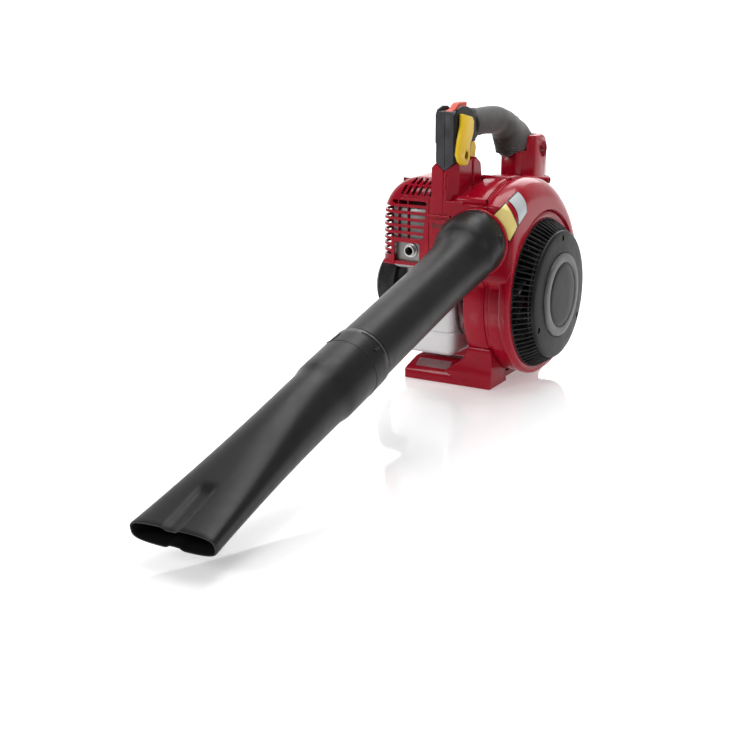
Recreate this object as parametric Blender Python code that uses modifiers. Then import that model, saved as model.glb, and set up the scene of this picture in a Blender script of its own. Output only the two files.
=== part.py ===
"""Hand-held petrol leaf blower: scroll fan housing, four-stroke engine, loop handle and blower tube.

Frame: metres, +Z up, floor at z = 0. The blower tube points to -Y, the round air intake faces +X,
the engine hangs on the -X side, and the fan and crankshaft turn about a line parallel to X.
"""
import bpy
import bmesh
from math import atan, cos, pi, radians, sin, sqrt
from mathutils import Matrix, Vector

# ---------------------------------------------------------------- driving dimensions (metres)
GAP = 0.0003                 # clearance left between touching pieces
WALL = 0.003                 # moulded wall thickness
FAN_Z = 0.119                # height of the fan and crankshaft axis
SEAM_X = 0.0115              # split plane of the two volute halves
VOLUTE_LEFT_X = -0.0224      # engine-side face of the volute
VOLUTE_RIGHT_X = 0.0500      # intake-side face of the volute
SCROLL_START = 0.098         # scroll radius at the front, level with the fan axis
SCROLL_LINEAR = 0.00479      # growth of the scroll radius per radian
SCROLL_SQUARE = 0.00141      # growth of the scroll radius per radian squared
FRONT_Y = -0.106             # flat front wall around the outlet
DUCT_Z = 0.1995              # centre height of the round outlet
DUCT_RADIUS = 0.0362
FLANGE_RADIUS = 0.0441
RIM_RADIUS = 0.1085          # bulging rim around the intake
INTAKE_RADIUS = 0.070
COVER_RADIUS = 0.0842
COVER_X = 0.0721             # outer face of the intake cover
BADGE_RADIUS = 0.0513
BADGE_X = 0.0770

HANDLE_X = -0.0470           # plane of the loop handle and of the column seam
COLUMN_LEFT_X = -0.0654
COLUMN_RIGHT_X = -0.0318
DECK_Z = 0.2480              # top of the deck between column and rear bracket
BOX_HALF = 0.0123            # half width of the switch box
BOX_BOTTOM_Z = 0.2965
BOX_TIP_Z = 0.2860
GRIP_RADIUS = 0.0178
CORE_RADIUS = 0.0105

TUBE_SLOPE = atan(0.26)      # droop of the blower tube below the horizontal
TUBE_START = Vector((0.0, -0.1158, 0.1930))
SOCKET_START = 0.290         # distances along the tube from TUBE_START
SOCKET_END = 0.372
MOUTH = 0.6464
MOUTH_HALF_WIDTH = 0.0495
MOUTH_HALF_HEIGHT = 0.0125
TUBE_WALL = 0.0022

FOOT_LEFT_X = -0.1151
FOOT_RIGHT_X = 0.0130
FOOT_FRONT_Y = -0.0824

CYLINDER_X = -0.1050         # cylinder centre line, in the plane y = 0
CRANK_RADIUS = 0.013         # half of the 26 mm stroke
BORE_RADIUS = 0.0175
ROD_LENGTH = 0.045
SHAFT_RADIUS = 0.006
STARTER_Z = 0.1110           # centre height of the starter case
PULLEY_GROOVE_RADIUS = 0.026
ROPE_Y = PULLEY_GROOVE_RADIUS + 0.0015
EXHAUST = (-0.104, 0.176)    # exhaust outlet centre in (x, z)
FILLER = (0.056, 0.056)      # fuel filler centre in (y, z)
SHROUD_LEFT_X = -0.1500
SHROUD_FRONT_Y = -0.0920
SHROUD_TOP_Z = 0.2720
SHROUD_CORNER = 0.0220
SHROUD_DOME = 0.0560          # radius of its upper outer corner, seen from the front
ROPE_X = -0.1630
GRIP_REST_Z = 0.1700

SEGMENTS = 32                # sides of large round pieces
FINE_SEGMENTS = 20           # sides of small round pieces


# ---------------------------------------------------------------- scene helpers
def clear_scene():
    for item in list(bpy.data.objects):
        bpy.data.objects.remove(item, do_unlink=True)


def new_collection(name):
    group = bpy.data.collections.new(name)
    bpy.context.scene.collection.children.link(group)
    return group


clear_scene()
PARTS = new_collection("leaf_blower")
CUTTERS = new_collection("cutters")
MATERIALS = {}


def material(name, colour, roughness=0.5, metallic=0.0):
    item = bpy.data.materials.new(name)
    item.use_nodes = True
    shader = item.node_tree.nodes["Principled BSDF"]
    shader.inputs["Base Color"].default_value = (*colour, 1.0)
    shader.inputs["Roughness"].default_value = roughness
    shader.inputs["Metallic"].default_value = metallic
    MATERIALS[name] = item


def make_materials():
    material("red_plastic", (0.55, 0.012, 0.022), 0.18)
    material("black_plastic", (0.028, 0.028, 0.027), 0.42)
    material("grey_plastic", (0.075, 0.075, 0.080), 0.55)
    material("foam", (0.045, 0.041, 0.037), 0.85)
    material("yellow_plastic", (0.85, 0.62, 0.03), 0.35)
    material("orange_plastic", (0.80, 0.09, 0.04), 0.40)
    material("tank_plastic", (0.80, 0.79, 0.80), 0.45)
    material("steel", (0.58, 0.58, 0.57), 0.30, 1.0)
    material("aluminium", (0.62, 0.62, 0.62), 0.45, 1.0)
    material("rubber", (0.02, 0.02, 0.02), 0.70)
    material("badge", (0.30, 0.30, 0.31), 0.40)
    material("paper", (0.72, 0.62, 0.42), 0.90)


def add_object(name, mesh, finish, location=(0, 0, 0), rotation=None):
    item = bpy.data.objects.new(name, mesh)
    item.location = location
    if rotation is not None:
        item.rotation_euler = rotation.to_euler()
    item.data.materials.append(MATERIALS[finish])
    PARTS.objects.link(item)
    return item


def weld(mesh, distance=0.00001):
    work = bmesh.new()
    work.from_mesh(mesh)
    bmesh.ops.remove_doubles(work, verts=work.verts, dist=distance)
    bmesh.ops.recalc_face_normals(work, faces=work.faces)
    work.to_mesh(mesh)
    work.free()


def to_mesh_object(curve_object):
    """Replace a curve object by a welded mesh object of the same name and place."""
    name = curve_object.name
    bpy.context.view_layer.update()
    evaluated = curve_object.evaluated_get(bpy.context.evaluated_depsgraph_get())
    mesh = bpy.data.meshes.new_from_object(evaluated)
    weld(mesh)
    place = curve_object.matrix_world.copy()
    bpy.data.objects.remove(curve_object, do_unlink=True)
    item = bpy.data.objects.new(name, mesh)
    item.matrix_world = place
    PARTS.objects.link(item)
    return item


def as_tool(item):
    """Move an object into the hidden cutters collection."""
    PARTS.objects.unlink(item)
    CUTTERS.objects.link(item)
    item.hide_render = True
    item.display_type = "WIRE"
    return item


def boolean(target, tool, operation, solver="EXACT"):
    modifier = target.modifiers.new(operation.lower(), "BOOLEAN")
    modifier.operation = operation
    modifier.solver = solver
    modifier.object = as_tool(tool)


def cut(target, *tools):
    for tool in tools:
        boolean(target, tool, "DIFFERENCE")


def fuse(target, *tools):
    for tool in tools:
        boolean(target, tool, "UNION")


def round_edges(item, width, segments=2, angle=40):
    modifier = item.modifiers.new("edges", "BEVEL")
    modifier.width = width
    modifier.segments = segments
    modifier.limit_method = "ANGLE"
    modifier.angle_limit = radians(angle)
    return item


def smooth(item, angle=35):
    item.data.shade_smooth()
    item.data.set_sharp_from_angle(angle=radians(angle))
    return item


def pivot(name, location, axis=(0, 0, 1)):
    """An empty on a joint's axis, its own Z along that axis."""
    item = bpy.data.objects.new(name, None)
    item.empty_display_size = 0.02
    item.location = location
    item.rotation_euler = Vector(axis).to_track_quat("Z", "Y").to_euler()
    PARTS.objects.link(item)
    return item


def hang(item, parent):
    """Parent an object to an empty and keep it where it is."""
    place = Matrix.LocRotScale(parent.location, parent.rotation_euler, None)
    item.parent = parent
    item.matrix_parent_inverse = place.inverted()
    return item


# ---------------------------------------------------------------- shape helpers
def box(name, low, high, finish="red_plastic", bevel=0.0, segments=2):
    low = Vector(low)
    high = Vector(high)
    work = bmesh.new()
    bmesh.ops.create_cube(work, size=1.0)
    bmesh.ops.scale(work, vec=high - low, verts=work.verts)
    mesh = bpy.data.meshes.new(name)
    work.to_mesh(mesh)
    work.free()
    item = add_object(name, mesh, finish, (low + high) / 2)
    if bevel:
        round_edges(item, bevel, segments)
    return item


def rod(name, start, end, radius, finish="steel", end_radius=None, sides=FINE_SEGMENTS):
    start = Vector(start)
    end = Vector(end)
    work = bmesh.new()
    bmesh.ops.create_cone(work, cap_ends=True, segments=sides, radius1=radius,
                          radius2=radius if end_radius is None else end_radius,
                          depth=(end - start).length)
    mesh = bpy.data.meshes.new(name)
    work.to_mesh(mesh)
    work.free()
    turn = (end - start).to_track_quat("Z", "Y")
    return smooth(add_object(name, mesh, finish, (start + end) / 2, turn))


def turned(name, profile, finish, origin, axis=(0, 0, 1), ring=False, steps=SEGMENTS):
    """Turn a profile of (radius, height) pairs, outer side first from top to bottom."""
    mesh = bpy.data.meshes.new(name)
    verts = [(radius, 0.0, height) for radius, height in profile]
    edges = [(i, i + 1) for i in range(len(verts) - 1)]
    if ring:
        edges.append((len(verts) - 1, 0))
    mesh.from_pydata(verts, edges, [])
    item = add_object(name, mesh, finish, origin, Vector(axis).to_track_quat("Z", "Y"))
    screw = item.modifiers.new("turn", "SCREW")
    screw.axis = "Z"
    screw.angle = 2 * pi
    screw.steps = steps
    screw.render_steps = steps
    screw.use_merge_vertices = True
    screw.merge_threshold = 0.00001
    screw.use_smooth_shade = True
    return item


def prism(name, outline, axis, low, high, finish="red_plastic", bevel=0.0, segments=2):
    """Extrude a flat outline: (y, z) pairs along X, (x, z) pairs along Y, or (x, y) pairs along Z."""
    curve = bpy.data.curves.new(name, "CURVE")
    curve.dimensions = "2D"
    curve.fill_mode = "BOTH"
    curve.extrude = (high - low) / 2
    spline = curve.splines.new("POLY")
    spline.points.add(len(outline) - 1)
    sign = -1 if axis == "Y" else 1
    for point, (u, v) in zip(spline.points, outline):
        point.co = (u, v, 0, 1)
    spline.use_cyclic_u = True
    item = bpy.data.objects.new(name, curve)
    middle = sign * (low + high) / 2
    turn = {"X": Matrix(((0, 0, 1), (1, 0, 0), (0, 1, 0))),
            "Y": Matrix(((1, 0, 0), (0, 0, -1), (0, 1, 0))),
            "Z": Matrix.Identity(3)}[axis]
    item.matrix_world = turn.to_4x4() @ Matrix.Translation((0, 0, middle))
    PARTS.objects.link(item)
    item = to_mesh_object(item)
    item.data.materials.clear()
    item.data.materials.append(MATERIALS[finish])
    if bevel:
        round_edges(item, bevel, segments)
    return item


def smooth_path(points, per_span=4):
    """Points of a Catmull-Rom curve through the given ones."""
    points = [Vector(p) for p in points]
    ends = [points[0] * 2 - points[1]] + points + [points[-1] * 2 - points[-2]]
    out = []
    for a, b, c, d in zip(ends, ends[1:], ends[2:], ends[3:]):
        for step in range(per_span):
            t = step / per_span
            out.append(0.5 * (2 * b + (c - a) * t + (2 * a - 5 * b + 4 * c - d) * t * t
                              + (3 * b - a - 3 * c + d) * t ** 3))
    return out + [points[-1]]


def tube(name, points, radius, finish, resolution=3):
    curve = bpy.data.curves.new(name, "CURVE")
    curve.dimensions = "3D"
    curve.bevel_depth = radius
    curve.bevel_resolution = resolution
    curve.use_fill_caps = True
    spline = curve.splines.new("POLY")
    spline.points.add(len(points) - 1)
    for point, co in zip(spline.points, points):
        point.co = (*co, 1)
    item = bpy.data.objects.new(name, curve)
    PARTS.objects.link(item)
    item = to_mesh_object(item)
    item.data.materials.clear()
    item.data.materials.append(MATERIALS[finish])
    return smooth(item)


def circle(centre, radius, count, start=0.0, end=2 * pi):
    """Points on an arc in the outline's plane."""
    full = abs(end - start - 2 * pi) < 1e-6
    spans = count if full else count - 1
    return [(centre[0] + radius * cos(start + (end - start) * i / spans),
             centre[1] + radius * sin(start + (end - start) * i / spans)) for i in range(count)]


# ---------------------------------------------------------------- fan housing
def scroll_radius(turn):
    return SCROLL_START + SCROLL_LINEAR * turn + SCROLL_SQUARE * turn * turn


def volute_outline(inset):
    """Scroll in (y, z): from under the outlet down the front, round the rear and over the top."""
    count = 27
    first = radians(-12)
    last = radians(308)
    points = []
    for i in range(count):
        turn = first + (last - first) * i / (count - 1)
        radius = scroll_radius(turn) - inset
        points.append((-radius * cos(turn), FAN_Z - radius * sin(turn)))
    points.append((FRONT_Y + inset, 0.2465 - inset))
    points.append((FRONT_Y + inset, 0.1520 + inset))
    return points


def intake_rim(name):
    inner = 0.0955
    return turned(name, [(RIM_RADIUS - 0.004, 0.0540), (RIM_RADIUS, 0.0500), (RIM_RADIUS, 0.0390),
                         (RIM_RADIUS - 0.005, 0.0330), (inner, 0.0330), (inner, 0.0495),
                         (0.0985, 0.0497), (0.0985, 0.0540)],
                  "red_plastic", (0, 0, FAN_Z), (1, 0, 0), ring=True)


def volute_outer_half():
    body = prism("volute_outer_half", volute_outline(0), "X", SEAM_X + GAP, VOLUTE_RIGHT_X)
    cavity = prism("outer_cavity", volute_outline(WALL), "X", SEAM_X - 0.01, VOLUTE_RIGHT_X - WALL)
    eye = rod("intake_eye", (0.03, 0, FAN_Z), (0.08, 0, FAN_Z), INTAKE_RADIUS, sides=SEGMENTS)
    duct = rod("outlet_bore_right", (0, FRONT_Y - 0.01, DUCT_Z), (0, -0.04, DUCT_Z), DUCT_RADIUS,
               sides=SEGMENTS)
    fuse(body, intake_rim("intake_rim"))
    cut(body, cavity, eye, duct)
    return body


def front_foot(name):
    outline = [(FOOT_FRONT_Y, 0.0), (FOOT_FRONT_Y, 0.0161), (-0.0705, 0.0275), (-0.0360, 0.0275),
               (-0.0300, 0.0)]
    return prism(name, outline, "X", FOOT_LEFT_X, SEAM_X)


def foot_leg(name):
    outline = [(-0.050, 0.010), (-0.034, 0.028), (-0.026, 0.040), (VOLUTE_LEFT_X, 0.062),
               (SEAM_X, 0.062), (SEAM_X, 0.010)]
    return prism(name, outline, "Y", FOOT_FRONT_Y + 0.002, -0.040)


def rear_foot(name):
    outline = [(0.050, 0.0), (0.054, 0.0200), (0.088, 0.0200), (0.092, 0.0)]
    return prism(name, outline, "X", FOOT_LEFT_X, SEAM_X)


def keel(name):
    """Low rail under the scroll that joins the two feet, flat on the floor between them."""
    outline = [(-0.0500, 0.0010), (-0.0500, 0.0080), (0.0650, 0.0080), (0.0650, 0.0010), (0.0480, 0.0),
               (-0.0280, 0.0)]
    return prism(name, outline, "X", -0.0200, 0.0030)


def rear_leg(name):
    outline = [(-0.040, 0.010), (VOLUTE_LEFT_X, 0.060), (SEAM_X, 0.060), (SEAM_X, 0.010)]
    return prism(name, outline, "Y", 0.056, 0.086)


def volute_inner_half():
    body = prism("volute_inner_half", volute_outline(0), "X", VOLUTE_LEFT_X, SEAM_X)
    duct_block = box("duct_block", (HANDLE_X + GAP, FRONT_Y, 0.1520), (-0.0200, -0.030, 0.2465))
    deck = box("deck", (-0.0655, -0.0340, DECK_Z - 0.010), (-0.0200, 0.1700, DECK_Z))
    fuse(body, duct_block, deck, front_foot("front_foot"), foot_leg("front_leg"),
         rear_foot("rear_foot"), rear_leg("rear_leg"))
    fuse(body, keel("keel"))
    for side in (-1, 1):
        fuse(body, rod("engine_post", (-0.0575, side * 0.056, 0.129), (-0.0210, side * 0.056, 0.129),
                       0.006, sides=12))
    add_screw_bosses(body)
    cavity = prism("inner_cavity", volute_outline(WALL), "X", VOLUTE_LEFT_X + WALL, SEAM_X + 0.01)
    duct = rod("outlet_bore_left", (0, FRONT_Y - 0.01, DUCT_Z), (0, -0.04, DUCT_Z), DUCT_RADIUS,
               sides=SEGMENTS)
    shaft_hole = rod("shaft_hole", (-0.03, 0, FAN_Z), (-0.01, 0, FAN_Z), 0.016)
    cut(body, cavity, duct, shaft_hole)
    drill_screw_bosses(body)
    return body


def outlet_flange():
    start = -FRONT_Y + GAP
    return turned("outlet_flange", [(FLANGE_RADIUS - 0.0012, start + 0.0053),
                                    (FLANGE_RADIUS, start + 0.0038), (FLANGE_RADIUS, start),
                                    (DUCT_RADIUS, start), (DUCT_RADIUS, start + 0.0053)],
                  "red_plastic", (0, 0, DUCT_Z), (0, -1, 0), ring=True)


def intake_grille():
    """Cone of fine vanes: a ring of faces with every second one missing, thickened."""
    windows = 48
    rows = [(0.0945, 0.0542), (0.0927, 0.0570), (0.0862, 0.0640), (0.0842, 0.0662)]
    mesh = bpy.data.meshes.new("intake_grille")
    count = 2 * windows
    verts = []
    for radius, height in rows:
        for i in range(count):
            turn = 2 * pi * (i + (0.16 if i % 2 else -0.16)) / count
            verts.append((radius * cos(turn), radius * sin(turn), height))
    faces = []
    for row in range(3):
        for i in range(count):
            if row == 1 and i % 2:
                continue
            a = row * count + i
            b = row * count + (i + 1) % count
            faces.append((a, b, b + count, a + count))
    mesh.from_pydata(verts, [], faces)
    item = add_object("intake_grille", mesh, "black_plastic", (0, 0, FAN_Z),
                      Vector((1, 0, 0)).to_track_quat("Z", "Y"))
    shell = item.modifiers.new("thickness", "SOLIDIFY")
    shell.thickness = 0.0022
    shell.offset = -1
    return item


COVER_SCREWS = [(0.075 * cos(radians(turn)), FAN_Z + 0.075 * sin(radians(turn))) for turn in (87, -33, 207)]


def intake_cover():
    start = 0.0665
    cover = turned("intake_cover", [(0.0, COVER_X), (COVER_RADIUS - 0.0015, COVER_X),
                                    (COVER_RADIUS, COVER_X - 0.0015), (COVER_RADIUS, start),
                                    (COVER_RADIUS - 0.003, start), (COVER_RADIUS - 0.003, COVER_X - 0.003),
                                    (0.0, COVER_X - 0.003)],
                   "black_plastic", (0, 0, FAN_Z), (1, 0, 0), steps=48)
    for y, z in COVER_SCREWS:
        fuse(cover, rod("cover_post", (COVER_X - 0.0015, y, z), (VOLUTE_RIGHT_X + GAP, y, z), 0.0055,
                        sides=12))
    for y, z in COVER_SCREWS:
        cut(cover, rod("cover_recess", (COVER_X - 0.0025, y, z), (COVER_X + 0.01, y, z), 0.0044,
                       sides=12))
    return cover


def cover_screws():
    for number, (y, z) in enumerate(COVER_SCREWS, 1):
        rod(f"cover_screw_{number}", (COVER_X - 0.0022, y, z), (COVER_X - 0.0004, y, z), 0.0038, sides=12)


def badge_plate():
    return turned("badge_plate", [(0.0, BADGE_X), (BADGE_RADIUS - 0.002, BADGE_X),
                                  (BADGE_RADIUS, BADGE_X - 0.0015), (BADGE_RADIUS, COVER_X + GAP),
                                  (0.0, COVER_X + GAP)],
                  "badge", (0, 0, FAN_Z), (1, 0, 0), steps=48)


HOUSING_SCREWS = [("upper", -0.0309, 0.2688), ("lower", -0.1004, 0.2506), ("rear", 0.0982, 0.2522)]


def add_screw_bosses(body):
    """Long screw tubes lying along X above the volute, each on a web, with a screw head in the end."""
    for label, y, z in HOUSING_SCREWS:
        fuse(body, rod(f"screw_boss_{label}", (-0.0290, y, z), (0.0105, y, z), 0.0046, sides=12),
             box(f"boss_web_{label}", (-0.0280, y - 0.0012, z - 0.0230), (0.0060, y + 0.0012, z - 0.0010)))


def drill_screw_bosses(body):
    for label, y, z in HOUSING_SCREWS:
        cut(body, rod(f"boss_hole_{label}", (0.0065, y, z), (0.02, y, z), 0.0034, sides=12))
        rod(f"housing_screw_{label}", (0.0068, y, z), (0.0095, y, z), 0.0030, sides=12)


# ---------------------------------------------------------------- handle
def column_left():
    """Near half of the front column, full height, with its shoulder of the V on top."""
    inner = HANDLE_X - 0.0015
    outline = [(inner, 0.1500), (inner, BOX_TIP_Z - 0.0006 + 0.0013), (HANDLE_X - BOX_HALF, BOX_BOTTOM_Z - 0.0006),
               (COLUMN_LEFT_X, 0.2895), (COLUMN_LEFT_X, 0.1500)]
    body = prism("column_left", outline, "Y", FRONT_Y, -0.0345)
    for low, high in ((0.1540, 0.2120), (0.2160, 0.2800)):
        cut(body, box("column_pocket", (COLUMN_LEFT_X + WALL, FRONT_Y + WALL, low), (inner + 0.01, -0.0375, high)))
    return body


def column_right():
    """Far half of the column above the duct: faceted front corner and a sloping rear face."""
    inner = HANDLE_X - 0.0012
    plan = [(inner, FRONT_Y), (inner + 0.0040, FRONT_Y), (COLUMN_RIGHT_X, -0.0940), (COLUMN_RIGHT_X, -0.0480),
            (inner, -0.0345)]
    body = prism("column_right", plan, "Z", 0.2470, 0.2990)
    tip = HANDLE_X
    wedge = [(tip - 0.02, 0.2700), (tip - 0.02, 0.3100), (-0.0200, 0.3100), (-0.0200, BOX_BOTTOM_Z - 0.0006),
             (HANDLE_X + BOX_HALF, BOX_BOTTOM_Z - 0.0006), (tip, BOX_TIP_Z - 0.0006)]
    cut(body, prism("v_notch", wedge, "Y", FRONT_Y - 0.01, 0.0),
        box("column_right_pocket", (inner - 0.01, -0.0900, 0.2500), (COLUMN_RIGHT_X - WALL, -0.0500, 0.2800)))
    return body


def switch_box_half(name, side):
    """Half of the grey box at the front of the handle: side is -1 or 1 from the seam."""
    seam = HANDLE_X + side * GAP / 2
    outer = HANDLE_X + side * BOX_HALF
    outline = [(seam, BOX_TIP_Z), (seam, 0.3600), (outer - side * 0.003, 0.3600), (outer, 0.3570),
               (outer, BOX_BOTTOM_Z)]
    body = prism(name, outline, "Y", FRONT_Y, -0.0420)
    lean = [(-0.0580, 0.2700), (-0.0580, 0.3180), (-0.0300, 0.3180), (-0.0300, 0.2700)]
    edges = sorted((seam - side * 0.01, outer + side * 0.01))
    cut(body, prism(name + "_underside", lean, "X", *edges))
    hollow = sorted((seam - side * 0.01, outer - side * 0.0025))
    cut(body, box(name + "_hollow", (hollow[0], FRONT_Y + 0.003, 0.3000),
                  (hollow[1], -0.0610, 0.3520)))
    cut(body, box(name + "_hollow_rear", (hollow[0], -0.0660, 0.3210), (hollow[1], -0.0450, 0.3520)))
    groove = sorted((seam - side * 0.01, seam + side * 0.0052))
    cut(body, box(name + "_groove", (groove[0], FRONT_Y + 0.004, 0.3500), (groove[1], -0.0600, 0.3700)))
    slot = sorted((seam - side * 0.01, seam + side * 0.0068))
    cut(body, box(name + "_trigger_slot", (slot[0], -0.0570, 0.3100), (slot[1], -0.0350, 0.3250)))
    cut(body, rod(name + "_core_hole", (HANDLE_X, -0.0500, 0.3385), (HANDLE_X, -0.0300, 0.3385),
                  CORE_RADIUS + GAP))
    return body


def lever_plate():
    """Rounded plate between the switch box and the cruise lever."""
    outline = [(-0.1060, 0.2985), (-0.1060, 0.3560), (-0.1000, 0.3630), (-0.0868, 0.3661), (-0.0720, 0.3645),
               (-0.0600, 0.3600), (-0.0500, 0.3510), (-0.0430, 0.3230), (-0.0600, 0.3180),
               (-0.0640, 0.2985)]
    low = HANDLE_X + BOX_HALF + GAP
    return prism("lever_plate", outline, "X", low, low + 0.0026, "black_plastic")


LEVER_PIVOT = (-0.0290, -0.0870, 0.3040)


def cruise_lever():
    """Flat lever pivoted near its lower end, with a thumb pad on top and a drop-shaped hole."""
    outline = [(-0.0980, 0.3577), (-0.0694, 0.3514), (-0.0648, 0.3459), (-0.0657, 0.3322),
               (-0.0738, 0.3180), (-0.0759, 0.2981), (-0.0800, 0.2935), (-0.0871, 0.2918),
               (-0.0960, 0.2935), (-0.1043, 0.2985), (-0.1100, 0.3073), (-0.1053, 0.3264),
               (-0.0985, 0.3441)]
    low = HANDLE_X + BOX_HALF + 0.0034
    lever = prism("cruise_lever", outline, "X", low, low + 0.0055, "yellow_plastic", 0.0012, 1)
    cut(lever, rod("lever_hole", (low - 0.01, -0.0866, 0.3049), (low + 0.01, -0.0866, 0.3049), 0.0040,
                   sides=12))
    return hang(lever, pivot("lever_axis", LEVER_PIVOT, (1, 0, 0)))


TRIGGER_PIVOT = (HANDLE_X, -0.0520, 0.3165)


def throttle_trigger():
    """Finger trigger that hangs under the front of the grip."""
    outline = [(-0.0540, 0.3185), (-0.0406, 0.3185), (-0.0287, 0.3150), (-0.0262, 0.3090), (-0.0291, 0.2956),
               (-0.0395, 0.2949), (-0.0469, 0.2977), (-0.0500, 0.3060), (-0.0540, 0.3100)]
    trigger = prism("throttle_trigger", outline, "X", HANDLE_X - 0.0062, HANDLE_X + 0.0062,
                    "yellow_plastic", 0.0010, 1)
    return hang(trigger, pivot("trigger_axis", TRIGGER_PIVOT, (1, 0, 0)))


def stop_switch():
    outline = [(-0.0970, 0.3525), (-0.0970, 0.3600), (-0.0860, 0.3620), (-0.0790, 0.3665), (-0.0740, 0.3686),
               (-0.0540, 0.3686), (-0.0530, 0.3640), (-0.0560, 0.3604), (-0.0680, 0.3604), (-0.0680, 0.3525)]
    switch = prism("stop_switch", outline, "X", HANDLE_X - 0.0048, HANDLE_X + 0.0048,
                   "orange_plastic", 0.0008, 1)
    return hang(switch, pivot("switch_axis", (HANDLE_X, -0.0800, 0.3560), (0, 1, 0)))


HANDLE_PATH = [(HANDLE_X, -0.0415, 0.3385), (HANDLE_X, -0.0180, 0.3390), (HANDLE_X, 0.0200, 0.3380),
               (HANDLE_X, 0.0500, 0.3350), (HANDLE_X, 0.0780, 0.3240), (HANDLE_X, 0.0980, 0.3080),
               (HANDLE_X, 0.1120, 0.2860)]


def handle_frame():
    """Bent core tube with a flat shoe that is bolted into the rear bracket."""
    path = [Vector((HANDLE_X, -0.0480, 0.3385))] + smooth_path(HANDLE_PATH)
    frame = tube("handle_frame", path, CORE_RADIUS, "grey_plastic")
    fuse(frame, box("handle_shoe", (HANDLE_X - 0.0100, 0.1020, 0.2660), (HANDLE_X + 0.0100, 0.1460, 0.2880),
                    "grey_plastic"))
    cut(frame, rod("bolt_bore", (HANDLE_X - 0.03, 0.1360, 0.2780), (HANDLE_X + 0.03, 0.1360, 0.2780),
                   0.0035, sides=12))
    return frame


def handle_grip():
    """Foam sleeve over the handle's core, ending just above the rear bracket."""
    path = smooth_path(HANDLE_PATH, 4)
    grip = tube("handle_grip", path[:-3], GRIP_RADIUS, "foam", 4)
    core = tube("grip_bore", [Vector((HANDLE_X, -0.0600, 0.3385))] + smooth_path(HANDLE_PATH),
                CORE_RADIUS + GAP, "foam")
    cut(grip, core)
    return grip


def rear_bracket():
    """Saddle that takes the rear end of the handle: a front panel flaring out into two ears."""
    side = [(0.0860, DECK_Z + GAP), (0.0900, 0.2885), (0.1000, 0.2890), (0.1105, 0.3095),
            (0.1413, 0.3090), (0.1530, 0.3035), (0.1600, 0.2950), (0.1740, DECK_Z + GAP)]
    bracket = prism("rear_bracket", side, "X", HANDLE_X - 0.0300, HANDLE_X + 0.0300)
    plan = [(HANDLE_X - 0.0110, 0.0800), (HANDLE_X + 0.0110, 0.0800), (HANDLE_X + 0.0125, 0.1000),
            (HANDLE_X + 0.0280, 0.1150), (HANDLE_X + 0.0280, 0.1500), (HANDLE_X + 0.0200, 0.1800),
            (HANDLE_X - 0.0190, 0.1800), (HANDLE_X - 0.0240, 0.1500), (HANDLE_X - 0.0240, 0.1150),
            (HANDLE_X - 0.0125, 0.1000)]
    boolean(bracket, prism("bracket_plan", plan, "Z", 0.2300, 0.3300), "INTERSECT")
    cut(bracket, box("bracket_pocket", (HANDLE_X - 0.0109, 0.0945, 0.2640), (HANDLE_X + 0.0109, 0.1500, 0.3300)),
        box("grip_room", (HANDLE_X - 0.0187, 0.0700, 0.2890), (HANDLE_X + 0.0187, 0.1280, 0.3300)),
        rod("ear_hole", (HANDLE_X + 0.0180, 0.1450, 0.2880), (HANDLE_X + 0.04, 0.1450, 0.2880), 0.0100,
            sides=16),
        rod("ear_bore", (HANDLE_X - 0.0160, 0.1360, 0.2780), (HANDLE_X + 0.04, 0.1360, 0.2780), 0.0035,
            sides=12))
    return bracket


def handle_bolt():
    return rod("handle_bolt", (HANDLE_X - 0.0157, 0.1360, 0.2780), (HANDLE_X + 0.0165, 0.1360, 0.2780),
               0.0031, sides=12)


# ---------------------------------------------------------------- blower tube
def tube_point(distance):
    return TUBE_START + Vector((0, -cos(TUBE_SLOPE), -sin(TUBE_SLOPE))) * distance


def ring_of(centre, tilt, half_width, half_height, power=2.0, count=SEGMENTS):
    """A closed super-ellipse whose plane leans back by tilt from the vertical."""
    up = Vector((0, -sin(tilt), cos(tilt)))
    ring = []
    for i in range(count):
        turn = 2 * pi * i / count
        across = abs(cos(turn)) ** (2 / power) * (1 if cos(turn) >= 0 else -1)
        along = abs(sin(turn)) ** (2 / power) * (1 if sin(turn) >= 0 else -1)
        ring.append(Vector(centre) + Vector((half_width * across, 0, 0)) + up * (half_height * along))
    return ring


def sleeve(name, rings, finish):
    """Loft through rings in order and back to the first, which makes one closed wall."""
    count = len(rings[0])
    verts = [point for ring in rings for point in ring]
    faces = []
    for r in range(len(rings)):
        after = (r + 1) % len(rings)
        for i in range(count):
            j = (i + 1) % count
            faces.append((r * count + i, after * count + i, after * count + j, r * count + j))
    mesh = bpy.data.meshes.new(name)
    mesh.from_pydata(verts, [], faces)
    weld(mesh, 0.000001)
    return smooth(add_object(name, mesh, finish), 30)


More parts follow.
